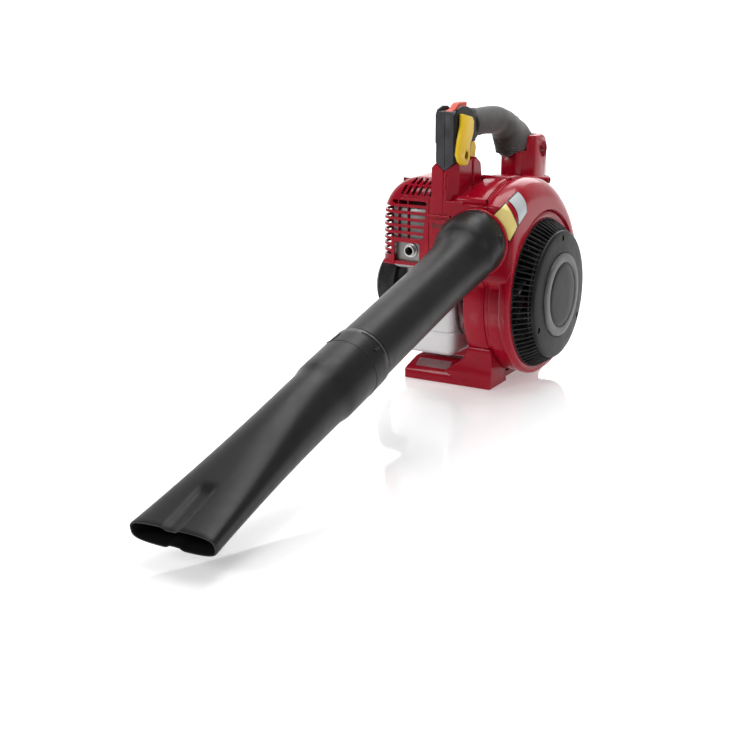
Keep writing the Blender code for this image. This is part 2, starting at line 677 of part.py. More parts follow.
def blower_pipe():
    """Main pipe: a spigot and wide collar square to the outlet, then the drooping pipe."""
    collar = [(-0.1035, DUCT_Z, 0, 0.0354), (-0.1119, DUCT_Z, 0, 0.0354), (-0.1119, DUCT_Z, 0, 0.0425),
              (-0.1280, 0.1972, 4, 0.0423), (-0.1440, 0.1915, 9, 0.0405), (-0.1620, 0.1822, 14.57, 0.0366)]
    outer = [ring_of((0, y, z), radians(tilt), r, r) for y, z, tilt, r in collar]
    for distance, radius in ((0.085, 0.0336), (0.180, 0.0340), (0.287, 0.0350), (0.288, 0.0338),
                             (0.355, 0.0338)):
        outer.append(ring_of(tube_point(distance), TUBE_SLOPE, radius, radius))
    inner = []
    for distance, radius in ((0.355, 0.0318), (0.180, 0.0318), (0.085, 0.0314)):
        inner.append(ring_of(tube_point(distance), TUBE_SLOPE, radius, radius))
    for y, z, tilt, radius in ((-0.1620, 0.1822, 14.57, 0.0338), (-0.1280, 0.1972, 4, 0.0330),
                               (-0.1035, DUCT_Z, 0, 0.0330)):
        inner.append(ring_of((0, y, z), radians(tilt), radius, radius))
    pipe = sleeve("blower_pipe", outer + inner, "black_plastic")
    return hang(pipe, pivot("pipe_axis", (0, FRONT_Y, DUCT_Z), (0, -1, 0)))


def nozzle_ring(distance, inset=0.0):
    """Section of the nozzle: round behind, flat oblong at the mouth."""
    t = max(0.0, min(1.0, (distance - 0.400) / (MOUTH - 0.400)))
    ease = t * t * (3 - 2 * t)
    width = 0.0344 + (MOUTH_HALF_WIDTH - 0.0344) * t ** 1.3
    height = 0.0344 + (MOUTH_HALF_HEIGHT - 0.0344) * (0.5 * t + 0.5 * ease)
    return ring_of(tube_point(distance), TUBE_SLOPE, width - inset, height - inset, 2 + 1.6 * t * t)


def nozzle():
    outer = [ring_of(tube_point(s), TUBE_SLOPE, r, r)
             for s, r in ((SOCKET_START, 0.0366), (SOCKET_END, 0.0366), (0.385, 0.0345))]
    stations = [0.400 + (MOUTH - 0.400) * i / 7 for i in range(8)]
    outer += [nozzle_ring(s) for s in stations]
    inner = [nozzle_ring(s, TUBE_WALL) for s in reversed(stations)]
    inner += [ring_of(tube_point(s), TUBE_SLOPE, r, r)
              for s, r in ((0.3605, 0.0322), (0.3585, 0.0342), (SOCKET_START, 0.0342))]
    piece = sleeve("nozzle", outer + inner, "black_plastic")
    axis = (0, -cos(TUBE_SLOPE), -sin(TUBE_SLOPE))
    return hang(piece, pivot("nozzle_axis", tube_point(SOCKET_START), axis))


# ---------------------------------------------------------------- rotating group
def rotor_axis():
    return pivot("fan_axis", (0, 0, FAN_Z), (1, 0, 0))


def crankshaft():
    """Shaft with two round webs and the crank pin at top dead centre."""
    middle = CYLINDER_X
    shaft = rod("crankshaft", (-0.1480, 0, FAN_Z), (middle - 0.009, 0, FAN_Z), SHAFT_RADIUS)
    fuse(shaft, rod("web_left", (middle - 0.0140, 0, FAN_Z), (middle - 0.0080, 0, FAN_Z), 0.0215),
         rod("crank_pin", (middle - 0.009, 0, FAN_Z + CRANK_RADIUS), (middle + 0.009, 0, FAN_Z + CRANK_RADIUS),
             0.0045, sides=12),
         rod("web_right", (middle + 0.0080, 0, FAN_Z), (middle + 0.0140, 0, FAN_Z), 0.0215),
         rod("fan_journal", (middle + 0.009, 0, FAN_Z), (0.0140, 0, FAN_Z), SHAFT_RADIUS))
    return shaft


def flywheel():
    bore = SHAFT_RADIUS + GAP
    return turned("flywheel", [(0.0385, -0.0340), (0.0400, -0.0355), (0.0400, -0.0500), (0.0340, -0.0500),
                               (0.0340, -0.0410), (0.0120, -0.0410), (0.0120, -0.0500), (bore, -0.0500),
                               (bore, -0.0340)],
                  "aluminium", (0, 0, FAN_Z), (1, 0, 0), ring=True)


def impeller():
    """Back plate, hub and twelve backward-leaning blades."""
    blades = 12
    inner = 0.0400
    outer = 0.0790
    bore = SHAFT_RADIUS + GAP
    plate = turned("impeller", [(0.0140, 0.0120), (0.0140, -0.0120), (outer + 0.0010, -0.0120),
                                (outer + 0.0010, -0.0145), (bore, -0.0145), (bore, 0.0120)],
                   "grey_plastic", (0, 0, FAN_Z), (1, 0, 0), ring=True)
    for number in range(blades):
        start = 2 * pi * number / blades
        end = start + radians(28)
        root = Vector((inner * cos(start), inner * sin(start)))
        tip = Vector((outer * cos(end), outer * sin(end)))
        side = (tip - root).normalized().orthogonal() * 0.0010
        corners = [root + side, tip + side, tip - side, root - side]
        blade = prism("blade", [(p.x, FAN_Z + p.y) for p in corners], "X", -0.0130, 0.0380)
        fuse(plate, blade)
    return plate


def rotor():
    axis = rotor_axis()
    for piece in (crankshaft(), flywheel(), impeller()):
        hang(piece, axis)


# ---------------------------------------------------------------- engine
def crankcase():
    body = box("crankcase", (-0.1400, -0.0340, 0.0860), (-0.0600, 0.0340, 0.1520), "aluminium", 0.004)
    flange = box("engine_flange", (-0.0640, -0.0640, 0.1080), (-0.0578, 0.0640, 0.1480), "aluminium")
    fuse(body, flange)
    cut(body, rod("crank_room", (-0.1290, 0, FAN_Z), (-0.0810, 0, FAN_Z), 0.0270),
        rod("bearing_bore", (-0.1500, 0, FAN_Z), (-0.0500, 0, FAN_Z), 0.0103),
        rod("cylinder_opening", (CYLINDER_X, 0, 0.1300), (CYLINDER_X, 0, 0.1600), BORE_RADIUS, sides=24))
    return body


def bearing(name, low, high):
    inner = SHAFT_RADIUS + GAP
    return turned(name, [(0.0100, high), (0.0100, low), (inner, low), (inner, high)], "steel",
                  (0, 0, FAN_Z), (1, 0, 0), ring=True, steps=FINE_SEGMENTS)


def cylinder_block():
    body = box("cylinder_block", (CYLINDER_X - 0.025, -0.0250, 0.1523), (CYLINDER_X + 0.025, 0.0250, 0.2235),
               "aluminium", 0.002)
    for number in range(6):
        z = 0.1660 + 0.0075 * number
        fuse(body, box("fin", (CYLINDER_X - 0.033, -0.0330, z), (CYLINDER_X + 0.033, 0.0330, z + 0.0018)))
    fuse(body, rod("exhaust_stub", (CYLINDER_X, -0.0397, 0.2050), (CYLINDER_X, -0.0200, 0.2050), 0.0080),
         rod("intake_stub", (CYLINDER_X, 0.0200, 0.1800), (CYLINDER_X, 0.0397, 0.1800), 0.0090))
    cut(body, rod("bore", (CYLINDER_X, 0, 0.1400), (CYLINDER_X, 0, 0.2055), BORE_RADIUS, sides=24))
    return body


def piston():
    pin_z = FAN_Z + CRANK_RADIUS + ROD_LENGTH
    body = rod("piston", (CYLINDER_X, 0, pin_z - 0.012), (CYLINDER_X, 0, pin_z + 0.012),
               BORE_RADIUS - GAP, "aluminium", sides=24)
    cut(body, rod("skirt", (CYLINDER_X, 0, pin_z - 0.02), (CYLINDER_X, 0, pin_z + 0.0075), 0.0150))
    fuse(body, rod("wrist_pin", (CYLINDER_X - 0.016, 0, pin_z), (CYLINDER_X + 0.016, 0, pin_z), 0.0030,
                   sides=12))
    return body


def connecting_rod():
    big = FAN_Z + CRANK_RADIUS
    small = big + ROD_LENGTH
    low = CYLINDER_X - 0.005
    high = CYLINDER_X + 0.005
    body = box("connecting_rod", (low + 0.001, -0.003, big + 0.0055), (high - 0.001, 0.003, small - 0.002), "steel")
    fuse(body, rod("small_end", (low, 0, small), (high, 0, small), 0.0058, sides=16))
    cut(body, rod("small_bore", (low - 0.01, 0, small), (high + 0.01, 0, small), 0.0034, sides=16))
    return body


def rocker_cover():
    return box("rocker_cover", (CYLINDER_X - 0.025, -0.0270, 0.2238), (CYLINDER_X + 0.025, 0.0270, 0.2385),
               "aluminium", 0.003)


def spark_plug():
    return turned("spark_plug", [(0.0, 0.1380), (0.0028, 0.1380), (0.0028, 0.1360), (0.0062, 0.1355),
                                 (0.0062, 0.1303), (0.0, 0.1303)],
                  "steel", (0, 0, 0.2145), (-1, 0, 0), steps=12)


def plug_cap():
    cap = rod("plug_cap", (-0.1464, 0, 0.2145), (-0.1362, 0, 0.2145), 0.0065, "rubber", sides=12)
    cut(cap, rod("cap_bore", (-0.1384, 0, 0.2145), (-0.1300, 0, 0.2145), 0.0033, sides=12))
    return cap


def ignition_coil():
    return box("ignition_coil", (-0.0520, -0.0160, 0.1605), (-0.0320, 0.0160, 0.1900), "black_plastic", 0.002)


def ignition_lead():
    path = smooth_path([(-0.0548, 0.0080, 0.1820), (-0.0600, 0.0180, 0.1880), (-0.0650, 0.0360, 0.2000),
                        (-0.0850, 0.0390, 0.2200), (-0.1200, 0.0390, 0.2250), (-0.1370, 0.0300, 0.2210),
                        (-0.1410, 0.0160, 0.2160), (-0.1410, 0.0092, 0.2148)], 3)
    return tube("ignition_lead", path, 0.0024, "rubber", 2)


def muffler():
    low = Vector((-0.1340, -0.0860, 0.1500))
    high = Vector((-0.0760, -0.0400, 0.2360))
    skin = Vector((0.0015, 0.0015, 0.0015))
    body = box("muffler", low, high, "aluminium", 0.008)
    cut(body, box("muffler_room", low + skin, high - skin, bevel=0.0066),
        rod("gas_inlet", (CYLINDER_X, -0.0500, 0.2050), (CYLINDER_X, -0.0300, 0.2050), 0.0060, sides=12),
        rod("gas_outlet", (EXHAUST[0], -0.1000, EXHAUST[1]), (EXHAUST[0], -0.0800, EXHAUST[1]), 0.0055, sides=12))
    return body


def exhaust_outlet():
    return turned("exhaust_outlet", [(0.0075, 0.0935), (0.0075, 0.0885), (0.0095, 0.0885), (0.0095, 0.0863),
                                     (0.0055, 0.0863), (0.0055, 0.0935)],
                  "steel", (EXHAUST[0], 0, EXHAUST[1]), (0, -1, 0), ring=True, steps=FINE_SEGMENTS)


def carburettor():
    body = box("carburettor", (CYLINDER_X - 0.018, 0.0400, 0.1620), (CYLINDER_X + 0.018, 0.0720, 0.1980),
               "aluminium", 0.002)
    fuse(body, rod("primer_seat", (CYLINDER_X, 0.0560, 0.1520), (CYLINDER_X, 0.0560, 0.1640), 0.0115))
    cut(body, rod("throat", (CYLINDER_X, 0.0300, 0.1800), (CYLINDER_X, 0.0800, 0.1800), 0.0060),
        rod("primer_recess", (CYLINDER_X, 0.0560, 0.1400), (CYLINDER_X, 0.0560, 0.1620), 0.0088))
    return body


def primer_bulb():
    bulb = turned("primer_bulb", [(0.0, 0.0050), (0.0083, 0.0050), (0.0083, -0.0030), (0.0060, -0.0052),
                                  (0.0, -0.0060)],
                  "rubber", (CYLINDER_X, 0.0560, 0.1515), steps=16)
    return hang(bulb, pivot("primer_axis", (CYLINDER_X, 0.0560, 0.1515)))


def air_cleaner():
    """Case, filter element and cover behind the carburettor; the cover swings down on its lower edge."""
    low = CYLINDER_X - 0.0375
    high = CYLINDER_X + 0.0375
    case = box("air_cleaner_case", (low, 0.0723, 0.1420), (high, 0.0900, 0.2180), "black_plastic")
    cut(case, box("case_room", (low + 0.002, 0.0745, 0.1440), (high - 0.002, 0.1000, 0.2160)),
        rod("case_port", (CYLINDER_X, 0.0700, 0.1800), (CYLINDER_X, 0.0800, 0.1800), 0.0060))
    box("air_filter", (low + 0.0035, 0.0775, 0.1455), (high - 0.0035, 0.0960, 0.2145), "foam", 0.002)
    cover = box("air_cleaner_cover", (low, 0.0903, 0.1420), (high, 0.1130, 0.2180), "black_plastic")
    cut(cover, box("cover_room", (low + 0.002, 0.0800, 0.1440), (high - 0.002, 0.1108, 0.2160)))
    hang(cover, pivot("air_cover_axis", (CYLINDER_X, 0.0903, 0.1405), (1, 0, 0)))


def choke_lever():
    outline = (circle((0.0560, 0.1850), 0.0045, 9, pi, 2 * pi)
               + [(0.0590, 0.2080), (0.0530, 0.2080)])
    lever = prism("choke_lever", outline, "X", -0.1275, -0.1234, "black_plastic")
    return hang(lever, pivot("choke_axis", (-0.1255, 0.0560, 0.1850), (1, 0, 0)))


def saddle_outline(inset):
    """Section of the tank in (y, z): two raised ends around a low middle."""
    return [(-0.0750 + inset, 0.0340 + inset), (-0.0750 + inset, 0.1050 - inset),
            (-0.0420 - inset, 0.1050 - inset), (-0.0400 - inset, 0.0780 - inset),
            (0.0400 + inset, 0.0780 - inset), (0.0420 + inset, 0.1050 - inset),
            (0.0750 - inset, 0.1050 - inset), (0.0750 - inset, 0.0340 + inset)]


def fuel_tank():
    """Saddle-shaped tank under the crankcase, hollow, open at the filler neck."""
    body = prism("fuel_tank", saddle_outline(0), "X", -0.1440, -0.0460, "tank_plastic")
    fuse(body, rod("filler_neck", (-0.1420, FILLER[0], FILLER[1]), (-0.1510, FILLER[0], FILLER[1]), 0.0150))
    cut(body, prism("tank_room", saddle_outline(0.0025), "X", -0.1415, -0.0485),
        rod("filler_bore", (-0.1360, FILLER[0], FILLER[1]), (-0.1560, FILLER[0], FILLER[1]), 0.0120))
    return body


def fuel_cap():
    cap = turned("fuel_cap", [(0.0, 0.1590), (0.0170, 0.1590), (0.0180, 0.1580), (0.0180, 0.1450),
                              (0.0154, 0.1450), (0.0154, 0.1514), (0.0, 0.1514)],
                 "black_plastic", (0, FILLER[0], FILLER[1]), (-1, 0, 0))
    return hang(cap, pivot("fuel_cap_axis", (-0.1520, FILLER[0], FILLER[1]), (-1, 0, 0)))


def fuel_line():
    path = smooth_path([(-0.0700, 0.0600, 0.1080), (-0.0700, 0.0640, 0.1250), (-0.0740, 0.0630, 0.1480),
                        (-0.0800, 0.0580, 0.1640), (-0.0843, 0.0560, 0.1700)], 3)
    return tube("fuel_line", path, 0.0023, "rubber", 2)


def breather_hose():
    path = smooth_path([(-0.0500, -0.0660, 0.1080), (-0.0480, -0.0700, 0.1200), (-0.0420, -0.0760, 0.1180),
                        (-0.0400, -0.0800, 0.1040), (-0.0380, -0.0810, 0.0900), (-0.0360, -0.0800, 0.0780),
                        (-0.0330, -0.0760, 0.0700)], 3)
    return tube("breather_hose", path, 0.0022, "rubber", 2)


def oil_cap():
    cap = turned("oil_filler_cap", [(0.0, 0.0480), (0.0095, 0.0480), (0.0105, 0.0470), (0.0105, 0.0343),
                                    (0.0, 0.0343)],
                 "black_plastic", (-0.1250, 0, 0.1300), (0, 1, 0), steps=16)
    return hang(cap, pivot("oil_cap_axis", (-0.1250, 0.0400, 0.1300), (0, 1, 0)))


def shroud_shape(name, inset):
    """Block with rounded edges and a domed upper outer corner."""
    low = (SHROUD_LEFT_X + inset, SHROUD_FRONT_Y + inset, 0.0880)
    high = (-0.0400, 0.1200, SHROUD_TOP_Z - inset)
    block = box(name, low, high, "red_plastic", SHROUD_CORNER - inset, 5)
    radius = SHROUD_DOME - inset
    dome = circle((SHROUD_LEFT_X + SHROUD_DOME, SHROUD_TOP_Z - SHROUD_DOME), radius, 8, pi, pi / 2)
    outline = dome + [(0.0, SHROUD_TOP_Z - inset), (0.0, 0.0500), (SHROUD_LEFT_X + inset, 0.0500)]
    boolean(block, prism(name + "_dome", outline, "Y", -0.2000, 0.2000), "INTERSECT")
    return block


def engine_shroud():
    """Red cover over cylinder and muffler, open below, behind and towards the column."""
    body = shroud_shape("engine_shroud", 0.0)
    cut(body, box("open_right", (-0.0665, -0.2, 0.0), (0.1, 0.2, 0.4)),
        box("open_rear", (-0.3, 0.0600, 0.0), (0.1, 0.2, 0.4)),
        shroud_shape("shroud_room", 0.0025),
        box("open_bottom", (-0.3, -0.2, 0.0), (0.1, 0.2, 0.1560)))
    for number in range(6):
        z = 0.1905 + 0.0078 * number
        cut(body, box("front_slot", (-0.1600, -0.1000, z), (-0.0790, -0.0700, z + 0.0042)))
    cut(body, box("exhaust_window", (-0.1260, -0.1000, 0.1400), (-0.0900, -0.0700, 0.1870)))
    for number in range(5):
        x = -0.1280 + 0.0120 * number
        cut(body, box("top_slot", (x, -0.0760, 0.2480), (x + 0.0060, -0.0300, 0.3000)))
    return body


# ---------------------------------------------------------------- recoil starter
def starter_case():
    """Shallow dish over the pulley, set a little low on the crank axis."""
    low = 0.1515
    high = 0.1850
    case = turned("starter_case", [(0.0, high), (0.0360, high), (0.0470, high - 0.0080), (0.0500, low),
                                   (0.0474, low), (0.0448, high - 0.0095), (0.0350, high - 0.0026),
                                   (0.0, high - 0.0026)],
                  "black_plastic", (0, 0, STARTER_Z), (-1, 0, 0))
    fuse(case, rod("pulley_post", (-0.1830, 0, FAN_Z), (-0.1520, 0, FAN_Z), 0.0040, sides=12))
    cut(case, rod("rope_exit", (ROPE_X, ROPE_Y, 0.1350), (ROPE_X, ROPE_Y, 0.1700), 0.0032, sides=12))
    return case


def starter_pulley():
    bore = 0.0043
    groove = PULLEY_GROOVE_RADIUS
    pulley = turned("starter_pulley", [(0.0300, 0.1680), (0.0300, 0.1660), (groove, 0.1648), (groove, 0.1612),
                                       (0.0300, 0.1600), (0.0300, 0.1545), (bore, 0.1545), (bore, 0.1680)],
                    "grey_plastic", (0, 0, FAN_Z), (-1, 0, 0), ring=True)
    return hang(pulley, pivot("pulley_axis", (ROPE_X, 0, FAN_Z), (1, 0, 0)))


def recoil_spring():
    return turned("recoil_spring", [(0.0260, 0.1780), (0.0260, 0.1685), (0.0070, 0.1685), (0.0070, 0.1780)],
                  "steel", (0, 0, FAN_Z), (-1, 0, 0), ring=True, steps=FINE_SEGMENTS)


def starter_pull():
    """Rope that stretches out of the case, with its T-shaped hand grip."""
    axis = pivot("starter_axis", (ROPE_X, ROPE_Y, 0.1600))
    rope = rod("starter_rope", (ROPE_X, ROPE_Y, 0.1250), (ROPE_X, ROPE_Y, GRIP_REST_Z - 0.0063), 0.0012,
               "rubber", sides=10)
    bar = rod("starter_grip", (ROPE_X, ROPE_Y - 0.0200, GRIP_REST_Z), (ROPE_X, ROPE_Y + 0.0200, GRIP_REST_Z),
              0.0060, "black_plastic", sides=16)
    hang(rope, axis)
    hang(bar, axis)


# ---------------------------------------------------------------- assembly
def build():
    make_materials()
    volute_outer_half()
    volute_inner_half()
    outlet_flange()
    intake_grille()
    intake_cover()
    cover_screws()
    badge_plate()
    column_left()
    column_right()
    switch_box_half("switch_box_left", -1)
    switch_box_half("switch_box_right", 1)
    lever_plate()
    cruise_lever()
    throttle_trigger()
    stop_switch()
    handle_frame()
    handle_grip()
    rear_bracket()
    handle_bolt()
    blower_pipe()
    nozzle()
    rotor()
    crankcase()
    bearing("bearing_fan_side", -0.0760, -0.0660)
    bearing("bearing_starter_side", -0.1390, -0.1300)
    cylinder_block()
    piston()
    connecting_rod()
    rocker_cover()
    spark_plug()
    plug_cap()
    ignition_coil()
    ignition_lead()
    muffler()
    exhaust_outlet()
    carburettor()
    primer_bulb()
    air_cleaner()
    choke_lever()
    fuel_tank()
    fuel_cap()
    fuel_line()
    breather_hose()
    oil_cap()
    engine_shroud()
    starter_case()
    starter_pulley()
    recoil_spring()
    starter_pull()


build()
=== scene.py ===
"""Visual model of a hand-held petrol leaf blower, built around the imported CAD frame.

Frame: metres, +Z up, floor at z = 0. The blower tube points to -Y, the round intake faces +X,
the engine is on the -X side and the fan axis runs along X at y = 0.
"""
from math import atan, atan2, cos, hypot, pi, radians, sin, tau
import bpy
import bmesh
from mathutils import Euler, Matrix, Vector


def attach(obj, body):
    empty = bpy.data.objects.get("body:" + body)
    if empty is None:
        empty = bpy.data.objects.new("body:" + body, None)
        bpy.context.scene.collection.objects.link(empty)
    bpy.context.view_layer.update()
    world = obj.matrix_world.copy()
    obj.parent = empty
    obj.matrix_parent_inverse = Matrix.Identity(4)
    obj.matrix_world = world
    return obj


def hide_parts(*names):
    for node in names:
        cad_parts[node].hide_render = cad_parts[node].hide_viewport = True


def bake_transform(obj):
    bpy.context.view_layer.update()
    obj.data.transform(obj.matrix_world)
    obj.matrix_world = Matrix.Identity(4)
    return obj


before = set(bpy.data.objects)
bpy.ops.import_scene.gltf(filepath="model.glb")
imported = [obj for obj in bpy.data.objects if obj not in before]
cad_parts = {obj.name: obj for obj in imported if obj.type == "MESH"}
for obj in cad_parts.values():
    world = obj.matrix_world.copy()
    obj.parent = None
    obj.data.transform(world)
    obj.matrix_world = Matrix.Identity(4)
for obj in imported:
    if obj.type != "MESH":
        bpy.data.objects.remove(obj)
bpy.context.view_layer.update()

# ---- dimensions shared with the CAD (metres)
FAN_Z = 0.119
SEAM_X = 0.0115
VOLUTE_LEFT_X = -0.0224
FRONT_Y = -0.106
DUCT_Z = 0.1995
DUCT_RADIUS = 0.0362
FLANGE_RADIUS = 0.0441
HANDLE_X = -0.047
DECK_Z = 0.248
TUBE_SLOPE = atan(0.26)
TUBE_START = Vector((0, -0.1158, 0.193))
SOCKET_START = 0.29
MOUTH = 0.6464
SHROUD_LEFT_X = -0.15
SHROUD_FRONT_Y = -0.092
SHROUD_TOP_Z = 0.272
SHROUD_DOME = 0.056
FILLER = (0.056, 0.056)
STARTER_Z = 0.111
ROPE = (-0.163, 0.0275)
EAR_HOLE = (0.143, 0.288)
VIEW_YAW = radians(29.75)
SKIN = 0.0022


# ---- materials
class Look:
    """A node material built around one Principled shader."""

    def __init__(self, name):
        self.material = bpy.data.materials.new(name)
        self.material.use_nodes = True
        self.tree = self.material.node_tree
        self.shader = self.tree.nodes["Principled BSDF"]
        self.link = self.tree.links.new
        self.coords = self.add("TexCoord").outputs["Object"]

    def add(self, kind, **values):
        """New node with the inputs of these names set."""
        node = self.tree.nodes.new("ShaderNode" + kind)
        return self.fill(node, values)

    def fill(self, node, values):
        for key, value in values.items():
            node.inputs[key.replace("_", " ")].default_value = value
        return node

    def set(self, **values):
        self.fill(self.shader, values)
        return self

    def noise(self, scale, detail=4, rough=0.55, stretch=None):
        node = self.add("TexNoise", Scale=scale, Detail=detail, Roughness=rough)
        source = self.coords
        if stretch:
            mapping = self.add("Mapping", Scale=stretch)
            self.link(source, mapping.inputs["Vector"])
            source = mapping.outputs["Vector"]
        self.link(source, node.inputs["Vector"])
        return node.outputs["Fac"]

    def cells(self, scale):
        node = self.add("TexVoronoi", Scale=scale)
        self.link(self.coords, node.inputs["Vector"])
        return node.outputs["Distance"]

    def ramp(self, value, stops):
        node = self.add("ValToRGB")
        elements = node.color_ramp.elements
        for element, (position, colour) in zip(elements, (stops[0], stops[-1])):
            element.position = position
            element.color = (*colour, 1)
        for position, colour in stops[1:-1]:
            elements.new(position).color = (*colour, 1)
        self.link(value, node.inputs["Fac"])
        return node.outputs["Color"]

    def spread(self, value, low, high, from_low=0.3, from_high=0.7):
        node = self.add("MapRange", From_Min=from_low, From_Max=from_high, To_Min=low, To_Max=high)
        self.link(value, node.inputs["Value"])
        return node.outputs["Result"]

    def edge(self):
        """1 on convex edges, 0 elsewhere."""
        geometry = self.add("NewGeometry")
        return self.spread(geometry.outputs["Pointiness"], 0, 1, 0.515, 0.6)

    def blend(self, factor, first, second):
        node = self.add("Mix")
        node.data_type = "RGBA"
        self.link(factor, node.inputs["Factor"])
        for socket, value in ((node.inputs[6], first), (node.inputs[7], second)):
            if isinstance(value, tuple):
                socket.default_value = (*value, 1)
            else:
                self.link(value, socket)
        return node.outputs[2]

    def times(self, first, second):
        node = self.add("Math")
        node.operation = "MULTIPLY"
        self.link(first, node.inputs[0])
        self.link(second, node.inputs[1])
        return node.outputs[0]

    def colour(self, socket):
        self.link(socket, self.shader.inputs["Base Color"])
        return self

    def rough(self, socket):
        self.link(socket, self.shader.inputs["Roughness"])
        return self

    def bump(self, *layers):
        """layers are (height, strength, distance in metres)."""
        normal = None
        for height, strength, distance in layers:
            node = self.add("Bump", Strength=strength, Distance=distance)
            self.link(height, node.inputs["Height"])
            if normal is not None:
                self.link(normal, node.inputs["Normal"])
            normal = node.outputs["Normal"]
        self.link(normal, self.shader.inputs["Normal"])
        return self


def moulded(name, dark, light, gloss, edge_colour, grain=900, grain_depth=0.00004, coat=0, spec=0.28):
    """Injection-moulded plastic: slow colour drift, fine grain, faint scuffs and rubbed edges."""
    look = Look(name)
    drift = look.ramp(look.noise(9, 3), [(0.3, dark), (0.7, light)])
    scuff = look.noise(60, 6, 0.7, (1, 1, 0.25))
    worn = look.times(look.edge(), look.spread(look.noise(45, 5), 0, 0.55, 0.42, 0.75))
    look.colour(look.blend(worn, drift, edge_colour))
    look.rough(look.spread(scuff, gloss[0], gloss[1]))
    look.bump((look.noise(14, 2), 0.12, 0.0006), (look.noise(grain, 2), 0.35, grain_depth))
    look.set(Coat_Weight=coat, Coat_Roughness=0.08, Specular_IOR_Level=spec)
    return look.material


def mottled(name, dark, light, tint, sheen, gloss, grain, strength, depth, **values):
    """Drifting colour and gloss with grain; tint, sheen and grain are the noise settings of each."""
    look = Look(name)
    look.colour(look.ramp(look.noise(*tint), [(0.3, dark), (0.7, light)]))
    look.rough(look.spread(look.noise(*sheen), *gloss))
    look.bump((look.noise(*grain), strength, depth))
    look.set(**values)
    return look.material


def cast_metal(name, dark, light, gloss, scale=500, depth=0.0001):
    return mottled(name, dark, light, (40, 6, 0.65), (90, 5), gloss, (scale, 4), 0.5, depth, Metallic=1)


def brushed(name, tone):
    look = Look(name)
    streak = look.noise(30, 4, 0.6, (1, 60, 60))
    low = tuple(v * 0.82 for v in tone)
    look.colour(look.ramp(streak, [(0.3, low), (0.7, tone)]))
    look.rough(look.spread(streak, 0.22, 0.42))
    look.bump((streak, 0.25, 0.00005))
    look.set(Metallic=1)
    return look.material


def foam_look():
    look = Look("foam_grip")
    pores = look.cells(520)
    look.colour(look.blend(look.spread(pores, 0, 1, 0.1, 0.6), (0.01, 0.0092, 0.0085), (0.024, 0.022, 0.02)))
    look.rough(look.spread(look.noise(70), 0.72, 0.92))
    look.bump((pores, 0.5, 0.0003), (look.noise(1600, 3), 0.4, 0.00015))
    look.set(Sheen_Weight=0.25, Sheen_Roughness=0.5)
    return look.material


def label_look(name, tone):
    low = tuple(v * 0.93 for v in tone)
    return mottled(name, low, tone, (80, 3), (160,), (0.28, 0.42), (500,), 0.2, 0.00003)


RED = moulded("red_gloss", (0.29, 0.0008, 0.0125), (0.35, 0.0014, 0.016), (0.14, 0.24), (0.46, 0.02, 0.03), 420,
    0.00002, 0.16, 0.15)
# Darker red that paints the shade in recesses and behind slots; it is not a colour of the plastic.
PAINTED_SHADE_RED = moulded("red_painted_shade", (0.12, 0.002, 0.006), (0.16, 0.003, 0.009), (0.22, 0.36), (0.36, 0.03, 0.04), 420,
    0.00002, 0.15)
BLACK = moulded("black_satin", (0.0085, 0.0085, 0.0085), (0.013, 0.013, 0.0128), (0.34, 0.46), (0.07, 0.07, 0.07),
    1300, 0.00005, 0, 0.14)
TUBE_BLACK = moulded("tube_black", (0.0095, 0.0094, 0.0092), (0.014, 0.0138, 0.0135), (0.3, 0.42),
    (0.045, 0.045, 0.044), 1500, 0.00006, 0, 0.2)
GRILLE_BLACK = moulded("grille_black", (0.006, 0.0058, 0.0058), (0.01, 0.0095, 0.0095), (0.34, 0.48),
    (0.08, 0.08, 0.08), 1300, 0.00004)
GREY = moulded("box_grey", (0.03, 0.0305, 0.034), (0.04, 0.0405, 0.045), (0.46, 0.6), (0.17, 0.17, 0.18), 1500,
    0.00007)
YELLOW = moulded("lever_yellow", (0.74, 0.47, 0.006), (0.84, 0.56, 0.01), (0.28, 0.4), (0.84, 0.66, 0.16), 900,
    0.00003)
ORANGE = moulded("switch_orange", (0.62, 0.055, 0.03), (0.72, 0.075, 0.04), (0.32, 0.44), (0.8, 0.25, 0.16), 900,
    0.00003)
STRIP_GREY = moulded("strip_grey", (0.2, 0.085, 0.09), (0.27, 0.13, 0.135), (0.4, 0.55), (0.45, 0.36, 0.36), 900,
    0.00004)
BADGE_RING = moulded("badge_ring", (0.085, 0.085, 0.085), (0.13, 0.13, 0.13), (0.3, 0.42), (0.34, 0.34, 0.34), 900,
    0.00003, 0, 0.2)
BADGE_CENTRE = moulded("badge_centre", (0.016, 0.014, 0.0138), (0.024, 0.021, 0.02), (0.3, 0.42), (0.12, 0.12, 0.12),
    1500, 0.00006, 0, 0.12)
FOAM = foam_look()
TANK = mottled("tank_white", (0.7, 0.69, 0.7), (0.78, 0.77, 0.78), (12, 3), (50,), (0.34, 0.48), (700, 3), 0.3,
    0.00006, Subsurface_Weight=0.35, Subsurface_Radius=(0.012, 0.011, 0.011), Subsurface_Scale=0.5)
RUBBER = mottled("rubber_black", (0.012, 0.012, 0.012), (0.03, 0.03, 0.03), (60,), (120,), (0.45, 0.68), (1100,),
    0.35, 0.00008)
YELLOW_LABEL = label_look("plate_yellow", (0.8, 0.66, 0.22))
SILVER_LABEL = label_look("plate_silver", (0.52, 0.55, 0.57))
MUFFLER = cast_metal("muffler_metal", (0.16, 0.155, 0.15), (0.3, 0.29, 0.285), (0.3, 0.48), 300, 0.00012)
ALLOY = cast_metal("cast_alloy", (0.34, 0.34, 0.34), (0.5, 0.5, 0.5), (0.42, 0.6))
STEEL = brushed("turned_steel", (0.6, 0.6, 0.59))
DARK_STEEL = cast_metal("dark_steel", (0.05, 0.05, 0.05), (0.09, 0.09, 0.09), (0.35, 0.5))


# ---- mesh helpers
def new_object(name, data):
    item = bpy.data.objects.new(name, data)
    bpy.context.scene.collection.objects.link(item)
    return item


